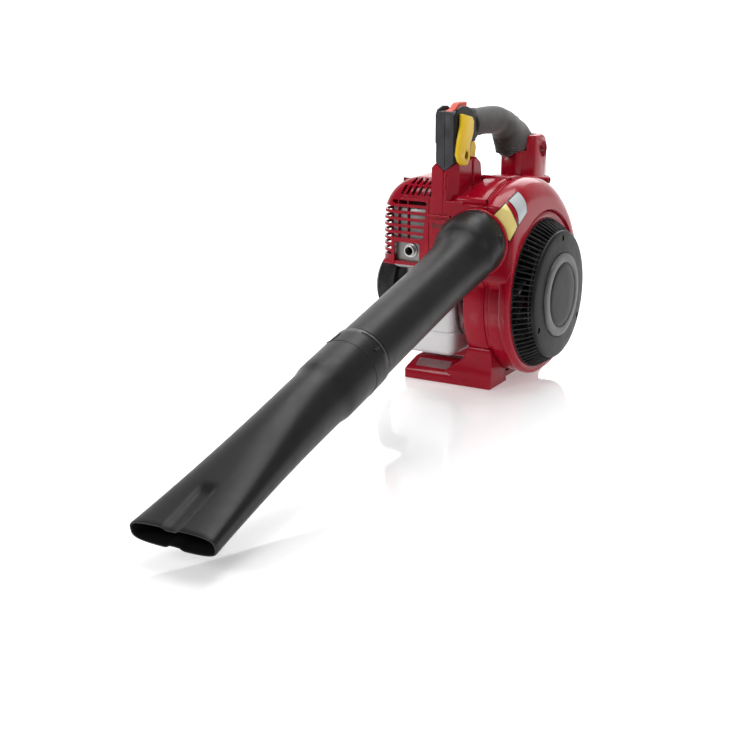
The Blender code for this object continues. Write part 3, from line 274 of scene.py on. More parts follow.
def from_faces(name, verts, faces):
    mesh = bpy.data.meshes.new(name)
    mesh.from_pydata([tuple(v) for v in verts], [], faces)
    work = bmesh.new()
    work.from_mesh(mesh)
    bmesh.ops.recalc_face_normals(work, faces=work.faces)
    work.to_mesh(mesh)
    work.free()
    return new_object(name, mesh)


def box(name, low, high):
    low = Vector(low)
    high = Vector(high)
    corners = [Vector((x, y, z)) for z in (low.z, high.z) for y in (low.y, high.y) for x in (low.x, high.x)]
    faces = [(0, 2, 3, 1), (4, 5, 7, 6), (0, 1, 5, 4), (2, 6, 7, 3), (0, 4, 6, 2), (1, 3, 7, 5)]
    return from_faces(name, corners, faces)


def prism(name, outline, axis, low, high):
    """Extrude (y, z) pairs along X, (x, z) pairs along Y or (x, y) pairs along Z."""
    place = {"X": lambda u, v, w: (w, u, v), "Y": lambda u, v, w: (u, w, v), "Z": lambda u, v, w: (u, v, w)}[axis]
    count = len(outline)
    verts = [place(u, v, low) for u, v in outline] + [place(u, v, high) for u, v in outline]
    faces = [tuple(range(count)), tuple(range(2 * count - 1, count - 1, -1))]
    faces += [(i, (i + 1) % count, count + (i + 1) % count, count + i) for i in range(count)]
    return from_faces(name, verts, faces)


def axis_frame(axis):
    return Vector(axis).to_track_quat("Z", "Y").to_matrix()


def lathe(name, profile, origin, axis=(0, 0, 1), steps=96, closed=False):
    """Turn (radius, height) pairs about an axis; radius 0 ends close on the axis."""
    turn = axis_frame(axis)
    origin = Vector(origin)
    verts = []
    rows = []
    for radius, height in profile:
        if radius < 1e-7:
            rows.append([len(verts)])
            verts.append(origin + turn @ Vector((0, 0, height)))
        else:
            rows.append(list(range(len(verts), len(verts) + steps)))
            verts += [origin + turn @ Vector((radius * cos(tau * i / steps), radius * sin(tau * i / steps), height))
                for i in range(steps)]
    faces = []
    pairs = list(zip(rows, rows[1:]))
    if closed:
        pairs.append((rows[-1], rows[0]))
    for first, second in pairs:
        for i in range(steps):
            j = (i + 1) % steps
            if len(first) == 1 and len(second) == 1:
                continue
            if len(first) == 1:
                faces.append((first[0], second[j], second[i]))
            elif len(second) == 1:
                faces.append((first[i], first[j], second[0]))
            else:
                faces.append((first[i], first[j], second[j], second[i]))
    return from_faces(name, verts, faces)


def wheel(name, profile, closed=True):
    """Profile turned about the fan axis."""
    return lathe(name, profile, (0, 0, FAN_Z), (1, 0, 0), 144, closed)


def rod(name, start, end, radius, end_radius=None, steps=32):
    length = (Vector(end) - Vector(start)).length
    last = radius if end_radius is None else end_radius
    return lathe(name, [(0, 0), (radius, 0), (last, length), (0, length)], start, Vector(end) - Vector(start), steps)


def loft(name, rings, caps=False, closed=False):
    count = len(rings[0])
    verts = [point for ring in rings for point in ring]
    pairs = [(r, r + 1) for r in range(len(rings) - 1)]
    if closed:
        pairs.append((len(rings) - 1, 0))
    faces = [(a * count + i, a * count + (i + 1) % count, b * count + (i + 1) % count, b * count + i) for a,
        b in pairs for i in range(count)]
    if caps:
        faces.append(tuple(range(count)))
        faces.append(tuple(range((len(rings) - 1) * count, len(rings) * count)))
    return from_faces(name, verts, faces)


def curve_points(points, per_span=8):
    """Catmull-Rom curve through the given points."""
    points = [Vector(p) for p in points]
    ends = [points[0] * 2 - points[1]] + points + [points[-1] * 2 - points[-2]]
    out = []
    for a, b, c, d in zip(ends, ends[1:], ends[2:], ends[3:]):
        for step in range(per_span):
            t = step / per_span
            out.append(0.5 * (2 * b + (c - a) * t + (2 * a - 5 * b + 4 * c - d) * t * t + (3 * b - a - 3 * c + d)
                * t ** 3))
    return out + [points[-1]]


def sweep(name, points, size, steps=24, side=(1, 0, 0)):
    """Tube along points; size is its half width along side and its half height."""
    rings = []
    side = Vector(side)
    wide, high = size
    count = len(points)
    for k, point in enumerate(points):
        ahead = points[min(k + 1, count - 1)] - points[max(k - 1, 0)]
        up = ahead.normalized().cross(side).normalized()
        across = up.cross(ahead.normalized())
        rings.append([point + across * (wide * cos(tau * i / steps)) + up * (high * sin(tau * i / steps))
            for i in range(steps)])
    return loft(name, rings, caps=True)


def bake(item):
    """Apply every modifier."""
    bpy.context.view_layer.update()
    evaluated = item.evaluated_get(bpy.context.evaluated_depsgraph_get())
    mesh = bpy.data.meshes.new_from_object(evaluated)
    item.modifiers.clear()
    item.data = mesh
    return item


def carve(item, *tools, operation="DIFFERENCE"):
    """Cut the tools out of the piece, or keep only what they share, and remove them."""
    for tool in tools:
        modifier = item.modifiers.new("carve", "BOOLEAN")
        modifier.operation = operation
        modifier.solver = "MANIFOLD"
        modifier.object = tool
    bake(item)
    for tool in tools:
        bpy.data.objects.remove(tool, do_unlink=True)
    return item


def soften(item, width, segments=3, angle=32):
    """Round the sharp edges and keep flat faces flat."""
    work = bmesh.new()
    work.from_mesh(item.data)
    bmesh.ops.dissolve_limit(work, angle_limit=radians(0.6), verts=work.verts, edges=work.edges)
    bmesh.ops.remove_doubles(work, verts=work.verts, dist=0.00002)
    work.to_mesh(item.data)
    work.free()
    modifier = item.modifiers.new("edges", "BEVEL")
    modifier.width = width
    modifier.segments = segments
    modifier.limit_method = "ANGLE"
    modifier.angle_limit = radians(angle)
    modifier.harden_normals = True
    modifier.miter_outer = "MITER_ARC"
    item.data.shade_smooth()
    return bake(item)


def place(item, look, replaces=(), angle=35, body="housing"):
    """Give a piece its material, its body, and the CAD nodes it stands for."""
    item.data.materials.clear()
    item.data.materials.append(look)
    for polygon in item.data.polygons:
        polygon.material_index = 0
    if angle:
        item.data.shade_smooth()
        item.data.set_sharp_from_angle(angle=radians(angle))
    if body:
        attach(item, body)
    if replaces:
        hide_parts(*replaces)
    return item


def rounded(item, look, width, segments=3, limit=32, sharp=0):
    """Housing piece with rounded edges that stands for no CAD node of its own."""
    return place(soften(item, width, segments, limit), look, angle=sharp)


def merged(name, items):
    """One object from several separate shells."""
    work = bmesh.new()
    for item in items:
        work.from_mesh(item.data)
        bpy.data.objects.remove(item, do_unlink=True)
    mesh = bpy.data.meshes.new(name)
    work.to_mesh(mesh)
    work.free()
    return new_object(name, mesh)


def copy_of(name, node):
    """A piece that starts as a copy of a CAD node's mesh."""
    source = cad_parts[node]
    item = new_object(name, source.data.copy())
    item.matrix_world = source.matrix_world.copy()
    bpy.context.view_layer.update()
    item.data.transform(item.matrix_world)
    item.matrix_world = Matrix.Identity(4)
    work = bmesh.new()
    work.from_mesh(item.data)
    bmesh.ops.remove_doubles(work, verts=work.verts, dist=0.00001)
    work.to_mesh(item.data)
    work.free()
    if "custom_normal" in item.data.attributes:
        item.data.attributes.remove(item.data.attributes["custom_normal"])
    return item


# ---- camera, light, floor
def rounded_floor():
    verts = []
    profile = [(-6, 0), (3, 0)] + [(3 + 1.5 * sin(t), 1.5 - 1.5 * cos(t)) for t in [radians(9 * i)
        for i in range(1, 11)]] + [(4.5, 6)]
    for along, height in profile:
        for side in (-9, 9):
            verts.append((side, along, height - 0.0004))
    faces = [(2 * i, 2 * i + 1, 2 * i + 3, 2 * i + 2) for i in range(len(profile) - 1)]
    item = from_faces("studio_floor", verts, faces)
    turn = Matrix.Rotation(VIEW_YAW, 4, "Z")
    item.data.transform(turn)
    item.data.shade_smooth()
    look = Look("studio_white")
    look.colour(look.ramp(look.noise(1.5, 2), [(0.3, (0.9, 0.9, 0.9)), (0.7, (0.93, 0.93, 0.93))]))
    look.rough(look.spread(look.noise(3), 0.04, 0.08))
    look.set(Specular_IOR_Level=0.9, Emission_Color=(1, 1, 1, 1), Emission_Strength=0.31)
    item.data.materials.append(look.material)


def area_light(name, location, target, size, power, size_y=None):
    data = bpy.data.lights.new(name, "AREA")
    data.shape = "RECTANGLE"
    data.size = size
    data.size_y = size_y or size
    data.energy = power
    item = new_object(name, data)
    item.location = location
    item.rotation_euler = (Vector(target) - Vector(location)).to_track_quat("-Z", "Y").to_euler()


def studio():
    rounded_floor()
    world = bpy.data.worlds.new("studio_world")
    world.use_nodes = True
    world.node_tree.nodes["Background"].inputs["Color"].default_value = (1, 1, 1, 1)
    world.node_tree.nodes["Background"].inputs["Strength"].default_value = 0.3
    bpy.context.scene.world = world
    area_light("key_front", (-1.3, -2.6, 1.5), (0, 0, 0.2), 1, 27)
    area_light("top_soft", (0.1, 0.1, 2.2), (0, 0, 0.15), 1.3, 22)
    area_light("right_soft", (2.4, -0.4, 1.1), (0, 0, 0.15), 1, 8)
    area_light("back_rim", (-0.6, 2.4, 1.6), (0, 0, 0.2), 1.4, 16)
    area_light("backdrop_soft", (-0.9, 1.6, 3.4), (-2.1, 3.6, 0.4), 2.4, 110)
    data = bpy.data.cameras.new("camera")
    data.sensor_width = 36
    data.lens = 67.98
    data.clip_end = 50
    camera = new_object("camera", data)
    pitch = radians(16.35)
    camera.location = (0.7618, -1.6976, 0.5419)
    camera.rotation_euler = (Euler((pi / 2 - pitch, 0, VIEW_YAW)).to_matrix() @ Matrix.Rotation(radians(-0.09), 3,
        "Z")).to_euler()
    bpy.context.scene.camera = camera
    bpy.context.scene.view_settings.view_transform = "Standard"


# ---- blower tube
def ring_of(centre, tilt, half_width, half_height, power=2, count=96, dent=0):
    """Closed super-ellipse leaning back by tilt; dent pushes a groove into top and bottom centre."""
    up = Vector((0, -sin(tilt), cos(tilt)))
    ring = []
    for i in range(count):
        turn = tau * i / count
        c = cos(turn)
        s = sin(turn)
        across = abs(c) ** (2 / power) * (1 if c >= 0 else -1)
        along = abs(s) ** (2 / power) * (1 if s >= 0 else -1)
        x = half_width * across
        z = half_height * along
        if dent:
            z -= (1 if s >= 0 else -1) * dent * (1 / (1 + (x / 0.0078) ** 8))
        ring.append(Vector(centre) + Vector((x, 0, 0)) + up * z)
    return ring


def tube_point(distance):
    return TUBE_START + Vector((0, -cos(TUBE_SLOPE), -sin(TUBE_SLOPE))) * distance


def station(distance, radius):
    point = tube_point(distance)
    return (point.y, point.z, TUBE_SLOPE, radius)


def in_between(rows, per_span):
    """Catmull-Rom interpolation of rows of numbers."""
    ends = [rows[0]] + list(rows) + [rows[-1]]
    out = []
    for a, b, c, d in zip(ends, ends[1:], ends[2:], ends[3:]):
        for step in range(per_span):
            t = step / per_span
            out.append(tuple(0.5 * (2 * q + (r - p) * t + (2 * p - 5 * q + 4 * r - s) * t * t
                + (3 * q - p - 3 * r + s) * t ** 3) for p, q, r, s in zip(a, b, c, d)))
    return out + [tuple(rows[-1])]


def make_pipe():
    outer = in_between([(-0.1125, DUCT_Z, 0, 0.0424), (-0.12, 0.199, radians(1), 0.0425),
        (-0.132, 0.1964, radians(4), 0.0422), (-0.143, 0.1918, radians(9), 0.0412), (-0.1475, 0.1892, radians(12),
        0.0401), (-0.153, 0.1858, TUBE_SLOPE, 0.0384), (-0.165, 0.181, TUBE_SLOPE, 0.0367), station(0.0715, 0.0353),
        station(0.11, 0.0343), station(0.18, 0.0343), station(0.287, 0.0348)], 6)
    rows = [(-0.104, DUCT_Z, 0, 0.0353), (-0.1119, DUCT_Z, 0, 0.0353), (-0.1119, DUCT_Z, 0, 0.0418)]
    rows += outer + [station(0.288, 0.0336), station(0.354, 0.0336), station(0.355, 0.033), station(0.355, 0.032),
        station(0.18, 0.0316), station(0.072, 0.0316), (-0.144, 0.1915, radians(9), 0.0328),
        (-0.12, 0.1988, 0, 0.0332), (-0.104, DUCT_Z, 0, 0.0335)]
    rings = [ring_of((0, y, z), tilt, r, r) for y, z, tilt, r in rows]
    pipe = loft("pipe_body", rings, closed=True)
    place(pipe, TUBE_BLACK, ["blower_pipe"], 40, "pipe")
    bump = lathe("pipe_latch", [(0, 0.003), (0.0035, 0.0026), (0.0058, 0.0012), (0.0066, -0.001), (0, -0.003)],
        (0.0405, -0.1215, 0.206), (0.93, -0.3, 0.1), 40)
    bump.data.transform(Matrix.Translation((0.0395, -0.122, 0.206)) @ Matrix.Diagonal((1, 0.75, 1.5, 1))
        @ Matrix.Translation((-0.0395, 0.122, -0.206)))
    place(bump, TUBE_BLACK, body="pipe")
    path = [Vector((0.0425 * cos(radians(turn)), y, z + 0.0425 * sin(radians(turn)))) for y, z,
        turn in ((-0.1128, 0.1993, 84), (-0.121, 0.1988, 86), (-0.1285, 0.1974, 90), (-0.1325, 0.1962, 99),
        (-0.1335, 0.1959, 114), (-0.1335, 0.1959, 132), (-0.133, 0.196, 146))]
    place(sweep("collar_seam", curve_points(path, 6), (0.0009, 0.0009), 12, (0.3, -0.8, 0.5)), TUBE_BLACK, angle=60,
        body="pipe")


def nozzle_row(distance, inset=0):
    t = max(0, min(1, (distance - 0.4) / (MOUTH - 0.4)))
    ease = t * t * (3 - 2 * t)
    width = 0.0344 + (0.0495 - 0.0344) * t ** 1.3
    height = 0.0344 + (0.0125 - 0.0344) * (0.5 * t + 0.5 * ease)
    dent = 0
    if 0.58 < distance:
        rise = min(1, (distance - 0.58) / 0.01)
        dent = 0.003 * rise * (2 - rise)
    return ring_of(tube_point(distance), TUBE_SLOPE, width - inset, height - inset, 2 + 1.6 * t * t, count=288,
        dent=dent)


def make_nozzle():
    socket = [(SOCKET_START, 0.0345), (SOCKET_START, 0.036), (SOCKET_START + 0.0008, 0.0366), (0.3, 0.0368),
        (0.36, 0.0368), (0.369, 0.0367), (0.3735, 0.0361), (0.379, 0.0351), (0.385, 0.0346)]
    rings = [ring_of(tube_point(s), TUBE_SLOPE, r, r, count=288) for s, r in socket]
    count = 56
    distances = [0.392 + (MOUTH - 0.0012 - 0.392) * i / count for i in range(count + 1)]
    rings += [nozzle_row(s) for s in distances]
    rings += [nozzle_row(MOUTH, 0.0004), nozzle_row(MOUTH, 0.0017)]
    rings += [nozzle_row(s, 0.0021) for s in reversed(distances)]
    rings += [ring_of(tube_point(s), TUBE_SLOPE, r, r, count=288) for s, r in ((0.3605, 0.0322), (0.3585, 0.034),
        (SOCKET_START, 0.034))]
    place(loft("nozzle_body", rings, closed=True), TUBE_BLACK, ["nozzle"], 40, "nozzle")
    make_lock_hook()


def make_lock_hook():
    """Bayonet hook and small stop rib on the nozzle socket."""
    up = Vector((0, -sin(TUBE_SLOPE), cos(TUBE_SLOPE)))

    def on_socket(distance, turn, radius=0.0369):
        return tube_point(distance) + Vector((radius * cos(turn), 0, 0)) + up * (radius * sin(turn))

    path = [on_socket(0.302, radians(112)), on_socket(0.314, radians(114)), on_socket(0.3175, radians(119)),
        on_socket(0.3165, radians(128)), on_socket(0.312, radians(134))]
    place(sweep("socket_hook", curve_points(path, 5), (0.0009, 0.0009), 12, tuple(up)), GRILLE_BLACK, angle=50,
        body="nozzle")
    place(sweep("socket_stop", [on_socket(0.298, radians(34), 0.0372), on_socket(0.306, radians(36), 0.0372)],
        (0.0011, 0.0011), 12, tuple(up)), TUBE_BLACK, angle=50, body="nozzle")
    for number, (distance, first, last) in enumerate(((0.295, 20, 75), (0.32, -60, 108)), 1):
        line = [on_socket(distance, radians(first + (last - first) * i / 24), 0.0367) for i in range(25)]
        place(sweep(f"socket_line_{number}", line, (0.0005, 0.0006), 10, (0, -cos(TUBE_SLOPE), -sin(TUBE_SLOPE))),
            GRILLE_BLACK if number == 2 else TUBE_BLACK, angle=50, body="nozzle")


# ---- fan housing
def scroll_radius(turn):
    return 0.098 + 0.00479 * turn + 0.00141 * turn * turn


def fillet(points, index, radius, steps=8):
    """Replace a corner by an arc."""
    before = Vector(points[index - 1])
    corner = Vector(points[index])
    after = Vector(points[(index + 1) % len(points)])
    a = (before - corner).normalized()
    b = (after - corner).normalized()
    half = a.angle(b) / 2
    reach = radius / max(0.05, sin(half)) * cos(half)
    centre = corner + (a + b).normalized() * (radius / sin(half))
    start = corner + a * reach - centre
    end = corner + b * reach - centre
    return [centre + start.lerp(end, i / steps).normalized() * radius for i in range(steps + 1)]


def housing_outline():
    """Scroll in (y, z) with the flat outlet wall, evenly spread points and outward normals."""
    first = radians(-12)
    last = radians(306)
    count = 118
    rough = []
    for i in range(count):
        turn = first + (last - first) * i / (count - 1)
        rough.append(Vector((-scroll_radius(turn) * cos(turn), FAN_Z - scroll_radius(turn) * sin(turn))))
    corners = [rough[-1], Vector((FRONT_Y, 0.2465)), Vector((FRONT_Y, 0.152)), rough[0]]
    top = fillet(corners, 1, 0.004)
    low = fillet(corners, 2, 0.003)
    wall = [top[-1].lerp(low[0], i / 12) for i in range(1, 12)]
    points = rough + top + wall + low
    total = len(points)
    normals = []
    for i in range(total):
        along = points[(i + 1) % total] - points[i - 1]
        normals.append(Vector((-along.y, along.x)).normalized() * -1)
    centre = Vector((0, FAN_Z))
    if sum((p - centre).dot(n) for p, n in zip(points, normals)) < 0:
        normals = [-n for n in normals]
    return points, normals


def rolled(point, depth):
    """Point moved towards the fan axis."""
    centre = Vector((0, FAN_Z))
    return point + (centre - point).normalized() * depth


def shell_rings(levels, points, normals):
    """Outline rings at each x, moved inward by depth."""
    rings = []
    for x, depth in levels:
        rings.append([Vector((x, p.x - n.x * depth, p.y - n.y * depth)) for p, n in zip(points, normals)])
    return rings


def round_room(point):
    """How far the intake-side edge may roll inward at this point of the outline."""
    radius = hypot(point.x, point.y - FAN_Z)
    room = max(0.0006, min(0.03, radius - 0.113))
    if point.x < -0.06 and point.y > 0.145:
        room = min(room, 0.005 + 0.017 * min(1, max(0, point.y - 0.205) / 0.04))
    elif point.x < 0 and point.y > 0.2:
        room = min(room, 0.022 + 0.008 * min(1, (point.x + 0.06) / 0.06))
    return room


def face_x(point):
    """How far the intake side reaches; it tucks under the rim where the scroll is smaller than the rim."""
    share = min(1, max(0, (hypot(point.x, point.y - FAN_Z) - 0.109) / 0.008))
    return 0.04 + 0.0085 * share


def duct_cut():
    return rod("duct_cut", (0, FRONT_Y - 0.01, DUCT_Z), (0, -0.02, DUCT_Z), DUCT_RADIUS, steps=72)


def make_volute():
    points, normals = housing_outline()
    roll = [radians(10 * i) for i in range(10)]
    levels = [(SEAM_X + 0.0003, 0.0018), (SEAM_X + 0.0012, 0.0018), (SEAM_X + 0.0022, 0.0004), (SEAM_X + 0.0032, 0),
        (0.018, 0)]
    rings = shell_rings(levels, points, normals)
    for angle in roll:
        rings.append([Vector((0.0215 + (face_x(p) - 0.0215) * sin(angle), *rolled(p,
            round_room(p) * (1 - cos(angle))))) for p in points])
    around = [atan2(p.y - FAN_Z, p.x) for p in points]
    for back, radius in ((0, 0.11), (0.0015, 0.109), (0.0085, 0.108), (0.009, 0.095), (0.012, 0.095)):
        rings.append([Vector((face_x(p) - back, reach * cos(t), FAN_Z + reach * sin(t))) for p,
            t in zip(points, around) for reach in [min(radius, hypot(p.x, p.y - FAN_Z) - 0.0008)]])
    inner = shell_rings([(0.027, 0.0032), (SEAM_X + 0.0003, 0.0048)], points, normals)
    outer_half = loft("housing_outer", rings + inner, closed=True)
    carve(outer_half, duct_cut())
    place(outer_half, RED, ["volute_outer_half"], 32)
    left = [(VOLUTE_LEFT_X, 0.006), (VOLUTE_LEFT_X, 0.0018), (VOLUTE_LEFT_X + 0.0006, 0.0006),
        (VOLUTE_LEFT_X + 0.0018, 0), (-0.005, 0), (0.0062, 0), (0.007, 0.0004), (0.0078, 0.0018), (SEAM_X, 0.0018),
        (SEAM_X, 0.0048), (VOLUTE_LEFT_X + 0.003, 0.0048)]
    rings = shell_rings(left, points, normals)
    for x in (VOLUTE_LEFT_X + 0.003, VOLUTE_LEFT_X):
        rings.append([Vector((x, 0.016 * cos(t), FAN_Z + 0.016 * sin(t))) for t in around])
    inner_half = loft("housing_inner", rings, closed=True)
    carve(inner_half, duct_cut())
    place(inner_half, RED, ["volute_inner_half"], 32)
    place(wheel("intake_ring", [(0.0958, 0.032), (0.105, 0.031), (0.1072, 0.0325), (0.1083, 0.036), (0.1085, 0.041),
        (0.1078, 0.044), (0.106, 0.046), (0.1035, 0.0466), (0.1, 0.0462), (0.0975, 0.0452), (0.0958, 0.043)]), RED,
        angle=50)


def make_flange():
    start = -FRONT_Y + 0.0003
    place(lathe("outlet_ring", [(FLANGE_RADIUS - 0.0004, start), (FLANGE_RADIUS, start + 0.0006),
        (FLANGE_RADIUS, start + 0.0034), (FLANGE_RADIUS - 0.0005, start + 0.0046), (FLANGE_RADIUS - 0.0016,
        start + 0.0053), (DUCT_RADIUS + 0.0004, start + 0.0053), (DUCT_RADIUS, start + 0.0049), (DUCT_RADIUS, start)],
        (0, 0, DUCT_Z), (0, -1, 0), 120, closed=True), RED, ["outlet_flange"], 50)


def make_grille():
    parts = [wheel("grille_base", [(0.0945, 0.0448), (0.0978, 0.0448), (0.0988, 0.0454), (0.0984, 0.0464),
        (0.0955, 0.0468), (0.094, 0.046)]), wheel("grille_top", [(0.082, 0.063), (0.0845, 0.0622), (0.085, 0.0632),
        (0.0842, 0.0645), (0.082, 0.0648)])]
    slats = 78
    for number in range(slats):
        turn = tau * number / slats
        out = Vector((0, cos(turn), sin(turn)))
        side = Vector((0, -sin(turn), cos(turn))) * 0.0009
        low = Vector((0.0456, 0, FAN_Z)) + out * 0.0986
        high = Vector((0.068, 0, FAN_Z)) + out * 0.0848
        deep = Vector((-0.0016, 0, 0)) - out * 0.0034
        middle = low.lerp(high, 0.55) + Vector((0.0006, 0, 0)) + out * 0.0006
        verts = []
        for spot in (low, middle, high):
            verts += [spot + side * 0.7, spot - side * 0.7, spot - side * 1.1 + deep, spot + side * 1.1 + deep]
        faces = [(0, 1, 2, 3), (8, 11, 10, 9)]
        for row in (0, 4):
            faces += [(row + i, row + 4 + i, row + 4 + (i + 1) % 4, row + (i + 1) % 4) for i in range(4)]
        parts.append(from_faces("slat", verts, faces))
    place(merged("intake_slats", parts), GRILLE_BLACK, ["intake_grille"], 40)


COVER_SCREWS = [(0.075 * cos(radians(turn)), FAN_Z + 0.075 * sin(radians(turn))) for turn in (87, -33, 207)]


def make_cover():
    cover = wheel("cover_disc", [(0, 0.0722), (0.0556, 0.0722), (0.0562, 0.0728), (0.0572, 0.0731), (0.059, 0.0728),
        (0.07, 0.0722), (0.08, 0.0714), (0.0824, 0.0708), (0.0836, 0.0698), (0.0842, 0.0683), (0.0842, 0.0667),
        (0.0815, 0.0667), (0.081, 0.0692), (0, 0.0692)], False)
    cuts = [rod("screw_recess", (0.0694, y, z), (0.09, y, z), 0.004, steps=32) for y, z in COVER_SCREWS]
    carve(cover, *cuts)
    place(cover, BLACK, ["intake_cover"], 40)
    for number, (y, z) in enumerate(COVER_SCREWS, 1):
        screw_head(f"cover_bolt_{number}", (0.0696, y, z), (1, 0, 0), 0.0034, [f"cover_screw_{number}"], DARK_STEEL)
        place(rod(f"cover_post_{number}", (0.048, y, z), (0.0695, y, z), 0.005, 0.0056, steps=28), BLACK)
    place(wheel("badge_ring_plate", [(0.0428, 0.0752), (0.0431, 0.0759), (0.0437, 0.0762), (0.0535, 0.0757),
        (0.0544, 0.0753), (0.0548, 0.0746), (0.055, 0.0727), (0.0428, 0.0727)]), BADGE_RING, ["badge_plate"], 45)
    place(wheel("badge_disc", [(0, 0.0766), (0.02, 0.0765), (0.034, 0.0762), (0.0418, 0.0757), (0.0425, 0.075),
        (0.0425, 0.0727), (0, 0.0727)], False), BADGE_CENTRE, angle=45)


def screw_head(name, spot, axis, radius, replaces, look=STEEL):
    """Round head with a hexagonal socket."""
    head = lathe(name, [(0, 0.0011), (radius * 0.55, 0.0011), (radius * 0.86, 0.0009), (radius, 0.0004),
        (radius, -0.0006), (0, -0.0006)], spot, axis, 36)
    turn = axis_frame(axis)
    socket = [Vector(spot) + turn @ Vector((radius * 0.45 * cos(pi * i / 3), radius * 0.45 * sin(pi * i / 3), z))
        for z in (0.0003, 0.003) for i in range(6)]
    faces = [(0, 1, 2, 3, 4, 5), (11, 10, 9, 8, 7, 6)] + [(i, (i + 1) % 6, 6 + (i + 1) % 6, 6 + i) for i in range(6)]
    carve(head, from_faces("socket", socket, faces))
    place(head, look, replaces)


HOUSING_SCREWS = [("upper", -0.0309, 0.2688), ("lower", -0.1004, 0.2506), ("rear", 0.0982, 0.2522)]


def make_bosses():
    """Long screw tubes above the scroll, each on a thin web, with a socket screw in the end."""
    for label, y, z in HOUSING_SCREWS:
        place(lathe(f"boss_{label}", [(0, -0.029), (0.0048, -0.029), (0.0047, 0.0096), (0.0042, 0.0105),
            (0.0034, 0.0105), (0.0032, 0.01), (0.0032, 0.006), (0, 0.006)], (0, y, z), (1, 0, 0), 48), RED, angle=40)
        rounded(box(f"boss_web_{label}", (-0.028, y - 0.0014, z - 0.019), (0.0075, y + 0.0014, z - 0.002)), RED,
            0.0006)
        screw_head(f"housing_bolt_{label}", (0.0075, y, z), (1, 0, 0), 0.0028, [f"housing_screw_{label}"])
    rounded(box("boss_rail", (-0.027, -0.096, 0.2418), (0.007, -0.0905, 0.2445)), RED, 0.001)


def curved_label(name, look, corners, ground, grow=0, height=0.0005):
    """Thin blank plate laid on the curved surface of another piece."""
    middle = sum((Vector(v) for v in corners), Vector()) / 4
    a, b, c, d = [middle + (Vector(v) - middle) * (1 + grow) for v in corners]
    out = (b - a).cross(d - a).normalized()
    if out.x < 0:
        out = -out
    size = 17
    top = []
    for i in range(size):
        for j in range(size):
            spot = a.lerp(b, i / (size - 1)).lerp(d.lerp(c, i / (size - 1)), j / (size - 1))
            hit, place_on, _, _ = ground.ray_cast(spot + out * 0.03, -out)
            top.append(place_on if hit else spot)
    verts = [p + out * height for p in top] + [p - out * 0.0004 for p in top]
    faces = []
    for i in range(size - 1):
        for j in range(size - 1):
            k = i * size + j
            faces.append((k, k + 1, k + size + 1, k + size))
            faces.append(tuple(size * size + m for m in (k, k + size, k + size + 1, k + 1)))
    rim = [i for i in range(size)] + [i * size + size - 1 for i in range(1, size)] + [size * size - 1 - i
        for i in range(1, size)] + [i * size for i in range(size - 2, 0, -1)]
    for k, m in zip(rim, rim[1:] + rim[:1]):
        faces.append((k, m, m + size * size, k + size * size))
    place(from_faces(name, verts, faces), look, angle=50)


def make_base():
    """Front cross foot with its rounded block, rear foot, keel and legs."""
    foot = prism("front_foot", [(-0.0824, 0), (-0.0824, 0.0118), (-0.08, 0.0165), (-0.07, 0.0225), (-0.064, 0.0262),
        (-0.061, 0.0275), (-0.038, 0.028), (-0.034, 0.024), (-0.03, 0)], "X", -0.1151, 0.0115)
    side = prism("foot_left_slope", [(-0.12, -0.01), (-0.12, 0.04), (-0.102, 0.04), (-0.113, 0.0165),
        (-0.1151, 0.012), (-0.1151, -0.01)], "Y", -0.1, 0)
    carve(foot, side)
    rounded(foot, RED, 0.0018)
    skirt = []
    for z, left, right, front in ((0.001, -0.026, 0.0123, -0.0836), (0.0175, -0.056, 0.0125, -0.0836),
            (0.0225, -0.049, 0.0125, -0.0822), (0.0275, -0.041, 0.0124, -0.0817), (0.0325, -0.0345, 0.0122, -0.0813),
            (0.0375, -0.0296, 0.012, -0.0811), (0.0425, -0.0262, 0.0118, -0.081), (0.0475, -0.024, 0.0115, -0.081),
            (0.0515, -0.0228, 0.0112, -0.0808), (0.0535, -0.0225, 0.0108, -0.08), (0.0543, -0.0224, 0.0104, -0.0782),
            (0.0546, -0.0224, 0.01, -0.0755)):
        corner = 0.0022
        ring = []
        for x, y, first in ((right - corner, -0.04 - corner, 0), (left + corner, -0.04 - corner, 90),
                (left + corner, front + corner, 180), (right - corner, front + corner, 270)):
            ring += [Vector((x + corner * cos(radians(first + 15 * i)), y + corner * sin(radians(first + 15 * i)), z))
                for i in range(7)]
        skirt.append(ring)
    place(loft("front_skirt", skirt, caps=True), RED, angle=40)
    rounded(prism("foot_strip", [(-0.0775, 0.0172), (-0.0779, 0.0185), (-0.0656, 0.026), (-0.065, 0.0248)], "X",
        -0.101, -0.052), STRIP_GREY, 0.0003, 2)
    rounded(prism("rear_foot", [(0.05, 0), (0.0515, 0.015), (0.056, 0.0195), (0.086, 0.0195), (0.0905, 0.015),
        (0.092, 0)], "X", -0.1151, 0.0115), RED, 0.002)
    rounded(prism("rear_leg", [(-0.04, 0.012), (-0.03, 0.034), (-0.0224, 0.06), (0.01, 0.06), (0.01, 0.012)], "Y",
        0.057, 0.085), RED, 0.0015, 2)
    rounded(box("keel_rail", (-0.02, -0.05, 0), (0.003, 0.065, 0.008)), RED, 0.001)
    for side in (-1, 1):
        place(rod(f"engine_post_{side + 2}", (-0.0575, side * 0.056, 0.129), (-0.021, side * 0.056, 0.129), 0.006),
            RED, angle=40)


def refined(name, node, look, body="housing", width=0.001, segments=3):
    """The CAD shape with rounded edges and a real surface."""
    item = copy_of(name, node)
    if width:
        soften(item, width, segments)
    return place(item, look, [node], 0 if width else 35, body)


